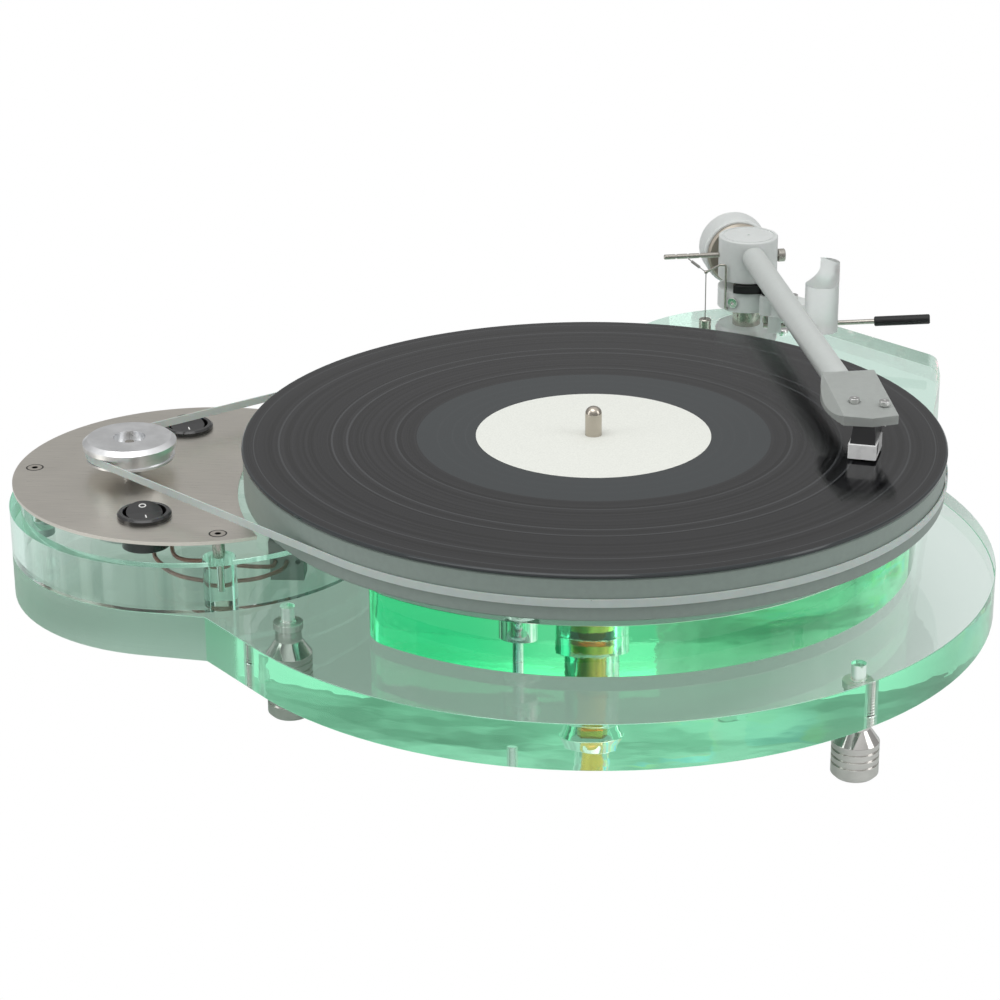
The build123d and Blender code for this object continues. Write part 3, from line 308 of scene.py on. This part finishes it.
def turned(name, colour, rough, centre, pitch, depth, thread=None):
    # lathe-turned metal with fine rings about a vertical axis, and a thread above a height
    look = {"outward": 2.0, "upward": 1.7, "detail": 2.0, "smudge": (0.12, 3.0), "spread": (0.35, 0.7),
            "dark": 0.88, "swing": 0.12, "start": 0.2}
    shader = Shader(name, {"Metallic": 1.0})
    reach, _, z = shader.around(centre)
    rings = shader.lines(reach * look["outward"] + z * look["upward"], 1 / pitch, look["detail"])
    smudge = shader.noise(shader.place(), *look["smudge"])
    shader.mottle(smudge.ramp(*look["spread"]), colour, look["dark"])
    shader.roughen(smudge, rough, look["swing"])
    if thread:
        above, lead, high = thread
        wave = (z * (math.tau / lead)).math("SINE") * z.ramp(above, above + look["start"])
        rings = rings + wave * (high / depth)
    shader.bump(rings, depth / 1000)
    return shader


def brushed(name, colour, rough, stretch):
    # metal with fine hair lines, drawn out along the axes whose stretch is small
    look = {"hairs": (3.0, 4.0), "ragged": 0.65, "broad": (0.02, 2.0), "shares": (0.55, 0.45),
            "spread": (0.35, 0.65), "dark": 0.86, "swing": 0.14, "height": 0.00004, "strength": 0.8}
    shader = Shader(name, {"Metallic": 1.0})
    where = shader.place()
    hairs = shader.noise(where, *look["hairs"], stretch, look["ragged"])
    shade = hairs * look["shares"][0] + shader.noise(where, *look["broad"]) * look["shares"][1]
    shader.mottle(shade.ramp(*look["spread"]), colour, look["dark"])
    shader.roughen(hairs, rough, look["swing"])
    shader.bump(hairs, look["height"], look["strength"])
    return shader


def plastic(name, colour, rough, coat=0.0):
    look = {"patch": (0.25, 3.0), "spread": (0.2, 0.6), "dark": 0.85, "swing": 0.1,
            "grain": (5.0, 2.0), "height": 0.00002, "strength": 0.6}
    shader = Shader(name, {"Coat Weight": coat, "Coat Roughness": 0.08})
    where = shader.place()
    patch = shader.noise(where, *look["patch"])
    shader.mottle(patch.ramp(*look["spread"]), colour, look["dark"])
    shader.roughen(patch, rough, look["swing"])
    shader.bump(shader.noise(where, *look["grain"]), look["height"], look["strength"])
    return shader


def vinyl():
    # the record: grooves in bands, plain gaps between them, and a smoother rim and run-out, with their
    # sheen painted into the colour
    look = {"leadIn": (145.4, 145.8, 0.15), "rim": (149.7, 149.9), "runOut": (75.8, 76.1),
            "gaps": (134.8, 112.2, 105.7, 84.8), "gap": (0.275, 0.25, 1.0),
            "rings": (67.0, 60.5, 55.0), "ring": (0.1, 0.15, 0.5),
            "tracks": (0.4, 6.0, 0.8), "spread": (0.35, 0.65), "fine": (2.6, 2.0),
            "dark": tone(3, 3, 4), "light": tone(34, 34, 36), "plain": tone(48, 53, 55),
            "line": tone(88, 91, 93), "lineShare": 0.35, "worn": (0.3, 0.7), "rough": 0.06,
            "swing": 0.12, "smoother": 0.04, "raised": 0.6, "height": 0.00003, "strength": 0.8}
    shader = Shader("vinyl", {"IOR": 1.52, "Specular IOR Level": 0.37, "Coat Weight": 0.12,
                              "Coat Roughness": 0.03})
    reach = shader.around(axle)[0]
    plain = (1 - reach.ramp(*look["runOut"])).math("MAXIMUM", reach.ramp(*look["rim"]))
    lines = reach.band(*look["leadIn"])
    # each gap's and ring's radius, half its width, its soft edge and its strength
    plainRings = [(radius, *look["gap"]) for radius in look["gaps"]]
    plainRings += [(radius, *look["ring"]) for radius in look["rings"]]
    for radius, half, soft, share in plainRings:
        lines = lines.math("MAXIMUM", reach.band(radius - half, radius + half, soft) * share)
    # painted sheen: the tracks noise makes the bands of grooves lighter and darker, as where they catch the
    # light; it also swings the roughness
    tracks = shader.lines(reach, *look["tracks"])
    paintedSheenBands = shader.mix(tracks.ramp(*look["spread"]), look["dark"], look["light"])
    # painted sheen: the smooth rim and run-out get a lighter, bluish colour, besides their lower roughness
    body = shader.mix(plain, paintedSheenBands, look["plain"])
    # painted highlight: the lead-in, the gaps and the rings get lighter lines; they are also raised in the
    # bump
    shader.set("Base Color", shader.mix(lines * look["lineShare"], body, look["line"]))
    worn = tracks.ramp(*look["worn"]) * look["swing"]
    shader.set("Roughness", worn - plain * look["smoother"] + look["rough"])
    grooves = shader.lines(reach, *look["fine"]) * (1 - plain) + lines * look["raised"]
    shader.bump(grooves, look["height"], look["strength"])
    return shader


def paper():
    # the record's plain label, with the ring that the press leaves round the hole
    look = {"dark": tone(226, 228, 221), "light": tone(236, 238, 231), "fibre": (1.5, 5.0),
            "spread": (0.3, 0.7), "pressed": (16.2, 16.9, 0.2), "raised": 0.3, "sunk": 0.6,
            "height": 0.0001, "strength": 0.7}
    shader = Shader("labelPaper", {"Roughness": 0.62})
    fibre = shader.noise(shader.place(), *look["fibre"])
    pressed = shader.around(axle)[0].band(*look["pressed"])
    shader.set("Base Color", shader.mix(fibre.ramp(*look["spread"]), look["dark"], look["light"]))
    shader.bump(fibre * look["raised"] - pressed * look["sunk"], look["height"], look["strength"])
    return shader


def beltRubber():
    look = {"dark": tone(206, 219, 214), "light": tone(222, 232, 228), "cloud": (0.2, 3.0), "rough": 0.30,
            "swing": 0.12, "skin": (1.2, 2.0, (1, 1, 3)), "height": 0.00004, "strength": 0.6}
    shader = Shader("beltRubber", {"IOR": 1.42, "Transmission Weight": 0.25, "Subsurface Weight": 0.2,
                                   "Subsurface Scale": 0.002})
    where = shader.place()
    cloud = shader.noise(where, *look["cloud"])
    shader.set("Base Color", shader.mix(cloud, look["dark"], look["light"]))
    shader.roughen(cloud, look["rough"], look["swing"])
    shader.bump(shader.noise(where, *look["skin"]), look["height"], look["strength"])
    return shader


def screwHeads():
    # the plate's countersunk screws, with painted shade: a shadowed rim and a dark socket
    look = {"from": 72.0, "angles": (180.0, -73.5, 73.5), "rim": (3.3, 4.2, 0.2), "socket": (1.2, 1.5),
            "face": tone(206, 200, 190), "dark": tone(46, 44, 42), "scratches": (2.0, 3.0, (0.1, 1, 1)),
            "height": 0.00002, "strength": 0.6}
    shader = Shader("screwHeads", {"Metallic": 1.0, "Roughness": 0.34})
    reach = None
    for angle in look["angles"]:
        near = shader.around(podAxis + heading(angle) * look["from"] / 1000)[0]
        reach = reach.math("MINIMUM", near) if reach else near
    # painted shade: the gap round the rim and the hex socket are coloured dark, where shade falls
    dark = reach.band(*look["rim"]).math("MAXIMUM", 1 - reach.ramp(*look["socket"]))
    shader.set("Base Color", shader.mix(dark, look["face"], look["dark"]))
    scratches = shader.noise(shader.place(), *look["scratches"])
    shader.bump(scratches, look["height"], look["strength"])
    return shader


def knurled():
    # the feet's lock nuts: fine upright teeth round a turned ring
    look = {"colour": (0.80, 0.79, 0.76, 1), "teeth": (2.2, 1.0, (1, 1, 0.02)), "height": 0.0005,
            "strength": 0.9}
    shader = Shader("knurledSteel", {"Base Color": look["colour"], "Metallic": 1.0, "Roughness": 0.28})
    shader.bump(shader.noise(shader.place(), *look["teeth"]), look["height"], look["strength"])
    return shader


looks = {
    "lower": lowerAcrylic(),
    "upper": upperAcrylic(),
    "drum": drumAcrylic(),
    "platter": frosted("platterAcrylic", tone(140, 154, 147), 0.42, 0.05, lines=1.2),
    "milky": frosted("milkyAcrylic", tone(242, 246, 244), 0.42, 0.04, soft=0.35, clear=0.25),
    "collarMilk": frosted("collarAcrylic", tone(240, 244, 242), 0.38, 0.04, soft=0.4, clear=0.1),
    "restMilk": frosted("restAcrylic", tone(252, 254, 253), 0.42, 0.03, soft=0.3, clear=0.85),
    "tube": frosted("tubePaint", tone(202, 207, 204), 0.34, 0.03),
    "shell": frosted("shellFinish", tone(194, 199, 195), 0.40, 0.05, soft=0.2, clear=0.35),
    "plate": brushed("plateSteel", tone(232, 227, 217), 0.30, (0.03, 1, 1)),
    "face": brushed("faceSteel", tone(176, 168, 156), 0.4, (0.3, 1, 1)),
    "pulley": turned("pulleyAluminium", tone(251, 252, 253), 0.30, pulleyAxis, 0.5, 0.012),
    "can": turned("motorCan", tone(205, 207, 207), 0.3, pulleyAxis, 0.8, 0.01),
    "steel": turned("footSteel", tone(226, 224, 220), 0.10, armAxis, 0.6, 0.004, (26.7, 1.25, 0.22)),
    "rod": brushed("rodSteel", tone(186, 182, 174), 0.26, (1, 1, 0.2)),
    "chrome": turned("screwChrome", tone(228, 228, 226), 0.1, axle, 0.7, 0.003),
    "spindle": turned("spindleSteel", tone(196, 188, 176), 0.22, axle, 0.4, 0.006),
    "brass": turned("cupBrass", tone(252, 234, 122), 0.28, axle, 0.7, 0.012),
    "bronze": turned("bearingBronze", tone(255, 192, 104), 0.26, axle, 0.7, 0.012),
    "nut": knurled(),
    "heads": screwHeads(),
    "black": plastic("blackPlastic", tone(30, 30, 31), 0.3, 0.3),
    "bezel": plastic("bezelPlastic", tone(24, 24, 25), 0.24, 0.5),
    "cueBlack": plastic("cueBlack", tone(22, 22, 23), 0.5),
    "white": plastic("whitePlastic", tone(252, 253, 252), 0.3, 0.3),
    "grey": plastic("greyPlastic", tone(196, 202, 199), 0.45),
    "pad": frosted("padRubber", tone(222, 238, 230), 0.3, 0.04, clear=0.9),
    "wire": plastic("wireSkin", tone(196, 152, 138), 0.4, 0.1),
    "thread": plastic("threadNylon", tone(150, 150, 146), 0.5),
    "mark": plastic("signPaint", tone(240, 240, 238), 0.45),
    "belt": beltRubber(),
    "vinyl": vinyl(),
    "paper": paper(),
}
print("materials made:", len(looks))

# The frame's nodes: which look each takes, and the width in millimetres of the soft edge it gets
dress = {
    "lower_plinth": ("lower", 0.35), "upper_plinth": ("upper", 0.35), "pod_drum": ("drum", 0.2),
    "decoupler_pads": ("pad", 0), "decoupler_screws": ("chrome", 0.2), "foot_0": ("steel", 0.15),
    "foot_1": ("steel", 0.15), "foot_2": ("steel", 0.15), "foot_nuts": ("nut", 0.3),
    "bearing_housing": ("bronze", 0.2), "bearing_nut": ("bronze", 0.2), "bearing_shaft": ("spindle", 0),
    "platter": ("platter", 0), "record": ("vinyl", 0), "record_label": ("paper", 0),
    "drive_belt": ("belt", 0.1),
    "power_inlet": ("black", 0.2), "top_plate": ("plate", 0.2), "plate_spacers": ("rod", 0.2),
    "plate_screws": ("heads", 0.1), "motor": ("can", 0), "motor_shaft": ("rod", 0.1),
    "pulley": ("pulley", 0.2), "pulley_screw": ("rod", 0), "terminal_block": ("grey", 0.3),
    "pod_wires": ("wire", 0),
    "switch_front": ("bezel", 0.3), "switch_rear": ("bezel", 0.3), "rocker_front": ("black", 0.7),
    "rocker_rear": ("black", 0.7), "arm_ring": ("restMilk", 0), "arm_pillar": ("rod", 0.2),
    "pivot_spike": ("rod", 0), "arm_collar": ("collarMilk", 0.5), "clamp_screw": ("chrome", 0.25),
    "rest_screw": ("chrome", 0.25), "board_screw": ("chrome", 0), "arm_rest": ("restMilk", 0.4),
    "guide_wire": ("rod", 0), "side_thread": ("thread", 0), "side_line": ("thread", 0),
    "side_weight": ("rod", 0), "pivot_cup": ("brass", 0.2), "arm_hub": ("milky", 0.2),
    "arm_tube": ("tube", 0.1), "headshell": ("shell", 0.5), "cartridge_body": ("black", 0.25),
    "cartridge_shell": ("white", 0.3), "cartridge_screws": ("chrome", 0.25), "stylus": ("rod", 0.1),
    "tail_rod": ("rod", 0.3), "counterweight": ("milky", 0), "counterweight_face": ("face", 0),
    "lever_rod": ("rod", 0), "side_knob": ("rod", 0), "cue_bar": ("cueBlack", 0.3),
    "cue_pin": ("rod", 0.1), "lift_lever": ("rod", 0.2), "lift_grip": ("cueBlack", 0.1),
}

# Nodes that stand on clear boards: drawn in by a hair, so that a thin gap of air
# shows between them and the acrylic
apart = ("decoupler_pads", "decoupler_screws", "foot_nuts", "foot_0", "foot_1", "foot_2", "bearing_housing",
         "bearing_nut", "pod_drum", "plate_spacers", "arm_ring", "board_screw", "terminal_block")

# How the nodes' faces and edges are finished, in millimetres and degrees
finish = {"weld": 0.002, "sharp": 28, "flat": 0.6, "rounds": 3, "hair": 0.02}


def smoothGroup():
    # joins the imported faces and smooths them by angle
    group = bpy.data.node_groups.new("smoothByAngle", "GeometryNodeTree")
    group.interface.new_socket("Geometry", in_out="INPUT", socket_type="NodeSocketGeometry")
    group.interface.new_socket("Geometry", in_out="OUTPUT", socket_type="NodeSocketGeometry")
    make = group.nodes.new
    start, end = make("NodeGroupInput"), make("NodeGroupOutput")
    merge = make("GeometryNodeMergeByDistance")
    merge.inputs["Distance"].default_value = finish["weld"] / 1000
    drop = make("GeometryNodeRemoveAttribute")
    drop.inputs["Name"].default_value = "custom_normal"
    faces = make("GeometryNodeSetShadeSmooth")
    edges = make("GeometryNodeSetShadeSmooth")
    edges.domain = "EDGE"
    edges.inputs["Shade Smooth"].default_value = False
    angle = make("GeometryNodeInputMeshEdgeAngle")
    sharp = make("FunctionNodeCompare")
    sharp.inputs[1].default_value = math.radians(finish["sharp"])
    link = group.links.new
    link(start.outputs[0], merge.inputs["Geometry"])
    link(merge.outputs[0], drop.inputs["Geometry"])
    link(drop.outputs[0], faces.inputs["Geometry"])
    link(faces.outputs[0], edges.inputs["Geometry"])
    link(angle.outputs["Unsigned Angle"], sharp.inputs[0])
    link(sharp.outputs[0], edges.inputs["Selection"])
    link(edges.outputs[0], end.inputs[0])
    return group


def soften(piece, group, width):
    # smooth faces, and edges rounded by a width in millimetres
    shaded = piece.modifiers.new("smooth", "NODES")
    shaded.node_group = group
    if width:
        flat = piece.modifiers.new("flat", "DECIMATE")
        flat.decimate_type = "DISSOLVE"
        flat.angle_limit = math.radians(finish["flat"])
        edge = piece.modifiers.new("edge", "BEVEL")
        edge.width = width / 1000
        edge.segments = finish["rounds"]
        edge.limit_method = "ANGLE"
        edge.angle_limit = math.radians(finish["sharp"])
        edge.harden_normals = True


def drawIn(piece):
    draw = piece.modifiers.new("hair", "DISPLACE")
    draw.direction = "NORMAL"
    draw.mid_level = 0.0
    draw.strength = -finish["hair"] / 1000


smooth = smoothGroup()
for name, (look, width) in dress.items():
    nodes[name].data.materials.clear()
    nodes[name].data.materials.append(looks[look].material)
    soften(nodes[name], smooth, width)
    if name in apart:
        drawIn(nodes[name])
print("nodes dressed:", len(dress))


# Pieces of the scene

toMetres = Matrix.Diagonal((0.001, 0.001, 0.001, 1))


def addMesh(name, shape, material):
    data = bpy.data.meshes.new(name)
    shape.to_mesh(data)
    shape.free()
    data.materials.append(material)
    piece = bpy.data.objects.new(name, data)
    bpy.context.scene.collection.objects.link(piece)
    return piece


def meshPiece(name, shape, look, body):
    piece = addMesh(name, shape, looks[look].material)
    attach(piece, body)


def ringStrip(points, half, height):
    # a closed raised strip that follows a list of points round the origin
    shape = bmesh.new()
    rows = []
    for x, y in points:
        inner, outer = (1 + side * half / math.hypot(x, y) for side in (-1, 1))
        section = ((inner, 0), (outer, 0), (outer, height), (inner, height))
        rows.append([shape.verts.new((x * k, y * k, z)) for k, z in section])
    for here, there in zip(rows, rows[1:] + rows[:1]):
        for n in range(4):
            m = (n + 1) % 4
            shape.faces.new((here[n], here[m], there[m], there[n]))
    bmesh.ops.recalc_face_normals(shape, faces=shape.faces)
    return shape


def lathed(profile, steps=64):
    # a solid of revolution about z from its profile's radii and heights
    shape = bmesh.new()
    turns = [(math.cos(n * math.tau / steps), math.sin(n * math.tau / steps)) for n in range(steps)]
    rows = [[shape.verts.new((radius * c, radius * s, z)) for c, s in turns] for radius, z in profile]
    for low, high in zip(rows, rows[1:]):
        for n in range(steps):
            m = (n + 1) % steps
            shape.faces.new((low[n], low[m], high[m], high[n]))
    for row in (rows[0], rows[-1]):
        shape.faces.new(row)
    bmesh.ops.recalc_face_normals(shape, faces=shape.faces)
    return shape


def cartridgeEye():
    # the dark insert in the round recess on the cartridge's outer side: a dished disc with a raised rim
    look = {"radius": 2.68, "thick": 0.55, "rim": 0.35, "round": 0.1, "slope": 0.2, "dish": 0.18,
            "bowl": (0.5, 0.7), "middle": (0.3, 0.6)}
    arm = {"pivot": 222.0, "pivotAt": 72.6, "reach": 238.0, "tubeAt": -78.4, "offset": 22.6, "nose": 5.0,
           "back": 5.4, "side": 5.17, "height": 105.85}
    outer, inner, top = look["radius"], look["radius"] - look["rim"], look["thick"]
    rim = [(outer, 0), (outer, top - look["round"]), (outer - look["round"], top), (inner, top)]
    dish = [(inner - look["slope"], 1.0), (inner * look["bowl"][0], look["bowl"][1]), look["middle"]]
    shape = lathed(rim + [(radius, top - look["dish"] * depth) for radius, depth in dish])
    ahead = heading(arm["tubeAt"] - arm["offset"])
    aside = Vector((-ahead.y, ahead.x, 0))
    pivot = arm["pivot"] * heading(arm["pivotAt"])
    front = pivot + arm["reach"] * heading(arm["tubeAt"]) + arm["nose"] * ahead
    at = front - arm["back"] * ahead + arm["side"] * aside
    turn = aside.to_track_quat("Z", "Y").to_matrix().to_4x4()
    place = Matrix.Translation(spot(at.x, at.y, arm["height"])) @ turn @ toMetres
    bmesh.ops.transform(shape, matrix=place, verts=shape.verts)
    meshPiece("cartridgeEye", shape, "bezel", "arm")


def ringSign(look):
    # a slightly flattened ring
    turns = [heading(n * 360 / look["steps"]) for n in range(look["steps"])]
    points = [(look["squash"] * look["ring"] * turn.x, look["ring"] * turn.y) for turn in turns]
    return ringStrip(points, look["line"], look["high"])


def strokeSign(look):
    # a flat bar with rounded edges
    shape = bmesh.new()
    bmesh.ops.create_cube(shape, size=1.0)
    bmesh.ops.scale(shape, vec=(*look["stroke"], look["high"]), verts=shape.verts)
    bmesh.ops.bevel(shape, geom=shape.edges[:], offset=look["round"], segments=2, affect="EDGES")
    return shape


def rockerSigns(side, label):
    # the on and off signs, a ring on the raised half and a stroke on the low half
    look = {"ring": 1.35, "squash": 0.8, "steps": 48, "line": 0.24, "high": 0.12, "stroke": (2.6, 0.52),
            "round": 0.04}
    rocker = {"at": (-186.2, 52.0, 80.5), "turn": -69.0, "ridge": 1.6, "raised": 3.9, "sunk": 0.7,
              "half": 7.6, "ringAt": -4.3, "strokeAt": 3.6}
    body = "rocker_front" if side < 0 else "rocker_rear"
    x, y, z = rocker["at"]
    turn = Matrix.Rotation(math.radians(rocker["turn"]), 4, "Z")
    home = Matrix.Translation(spot(x, side * y, z)) @ turn
    signs = {"ring": (ringSign, rocker["ringAt"], rocker["raised"] - rocker["ridge"]),
             "stroke": (strokeSign, rocker["strokeAt"], rocker["ridge"] - rocker["sunk"])}
    for kind, (build, along, fall) in signs.items():
        shape = build(look)
        lean = math.atan2(fall, rocker["half"])
        height = rocker["ridge"] - along * math.tan(lean)
        sit = Matrix.Translation((along, 0, height)) @ Matrix.Rotation(lean, 4, "Y")
        bmesh.ops.transform(shape, matrix=home @ toMetres @ sit, verts=shape.verts)
        meshPiece(f"{label}_{kind}", shape, "mark", body)


rockerSigns(-1, "signFront")
rockerSigns(1, "signRear")
cartridgeEye()
print("signs and insert made")


# Floor, surroundings, light and camera


def floor():
    # paper that the camera sees as white, and clear and shiny pieces see glowing, with a painted shadow
    # that is darker and greener under the object
    look = {"half": 6.0, "camera": 1.0, "grey": 0.55, "open": (0.90, 0.93, 0.92, 1),
            "under": (0.37, 0.49, 0.42, 1), "spread": (150.0, 265.0), "middle": (-80, 0),
            "through": 0.8, "mirror": 0.45}
    shader = Shader("floorPaper", {"Base Color": (look["grey"],) * 3 + (1,), "Roughness": 0.9})
    seen = shader.node("LightPath", output="Is Camera Ray")
    through = shader.node("LightPath", output="Is Transmission Ray")
    mirrored = shader.node("LightPath", output="Is Glossy Ray")
    # painted shadow: what clear and shiny pieces see of the floor is darker and greener near the object's
    # middle, as in its shade and in the light through its green boards
    reach = shader.around(spot(*look["middle"], 0))[0]
    tint = shader.mix(reach.ramp(*look["spread"]), look["under"], look["open"])
    tint = shader.mix(seen, tint, white)
    shining = shader.node("Emission", {"Color": tint, "Strength": look["camera"]})
    share = seen.math("MAXIMUM", through * look["through"]).math("MAXIMUM", mirrored * look["mirror"])
    plain = Num(shader, shader.surface.outputs[0])
    blend = shader.node("MixShader", {0: share, 1: plain, 2: shining})
    shader.feed(shader.output.inputs["Surface"], blend)
    shape = bmesh.new()
    bmesh.ops.create_grid(shape, x_segments=1, y_segments=1, size=look["half"])
    piece = addMesh("studioFloor", shape, shader.material)


def surroundings():
    # white behind the object, and for reflections a room that is bright above and greyer low down
    look = {"low": 0.36, "high": 0.88, "rise": (0.25, 0.95)}
    # what clear pieces show of the room, darker at the left
    clear = {"left": 0.25, "right": 0.9, "turn": (-0.7, 0.15)}
    world = bpy.data.worlds.new("studio")
    world.use_nodes = True
    bpy.context.scene.world = world
    room = Graph(world.node_tree)
    x, _, z = room.parts(room.node("TexCoord", output="Generated"))
    seen = room.node("LightPath", output="Is Camera Ray")
    through = room.node("LightPath", output="Is Transmission Ray")
    bright = z.ramp(*look["rise"]) * (look["high"] - look["low"]) + look["low"]
    dusk = x.ramp(*clear["turn"]) * (clear["right"] - clear["left"]) + clear["left"]
    bright = bright + (dusk - bright) * through
    back = room.tree.nodes["Background"]
    room.feed(back.inputs["Color"], white)
    room.feed(back.inputs["Strength"], seen + (1 - seen) * bright)


def softbox(name, at, size, power):
    # a lamp that faces the middle of the platter
    look = {"aim": (0, 0, 60)}
    data = bpy.data.lights.new(name, "AREA")
    data.shape = "RECTANGLE"
    data.size, data.size_y = size
    data.energy = power
    light = bpy.data.objects.new(name, data)
    light.location = spot(*at)
    light.rotation_euler = (spot(*look["aim"]) - spot(*at)).to_track_quat("-Z", "Y").to_euler()
    bpy.context.scene.collection.objects.link(light)


def camera():
    look = {"at": (51.06, -1169.39, 548.45), "right": (0.99713, 0.07543, -0.0063),
            "up": (-0.02267, 0.37702, 0.92593), "ahead": (-0.07222, 0.92313, -0.37765),
            "lens": 104.99, "sensor": 36.0, "clip": (0.05, 50.0)}
    data = bpy.data.cameras.new("camera")
    data.lens = look["lens"]
    data.sensor_width = look["sensor"]
    data.clip_start, data.clip_end = look["clip"]
    eye = bpy.data.objects.new("camera", data)
    columns = [Vector(look["right"]), Vector(look["up"]), -Vector(look["ahead"])]
    turn = Matrix([[c[n] for c in columns] for n in range(3)]).to_4x4()
    eye.matrix_world = Matrix.Translation(spot(*look["at"])) @ turn
    bpy.context.scene.collection.objects.link(eye)
    bpy.context.scene.camera = eye


floor()
surroundings()
softbox("boxAbove", (-250, -350, 1500), (1.3, 1.0), 7.0)
softbox("boxRight", (1300, -300, 700), (0.6, 1.2), 4.0)
softbox("boxLeft", (-1300, -500, 600), (0.5, 1.2), 3.2)
camera()
bpy.context.scene.view_settings.view_transform = "Standard"
print("stage set")
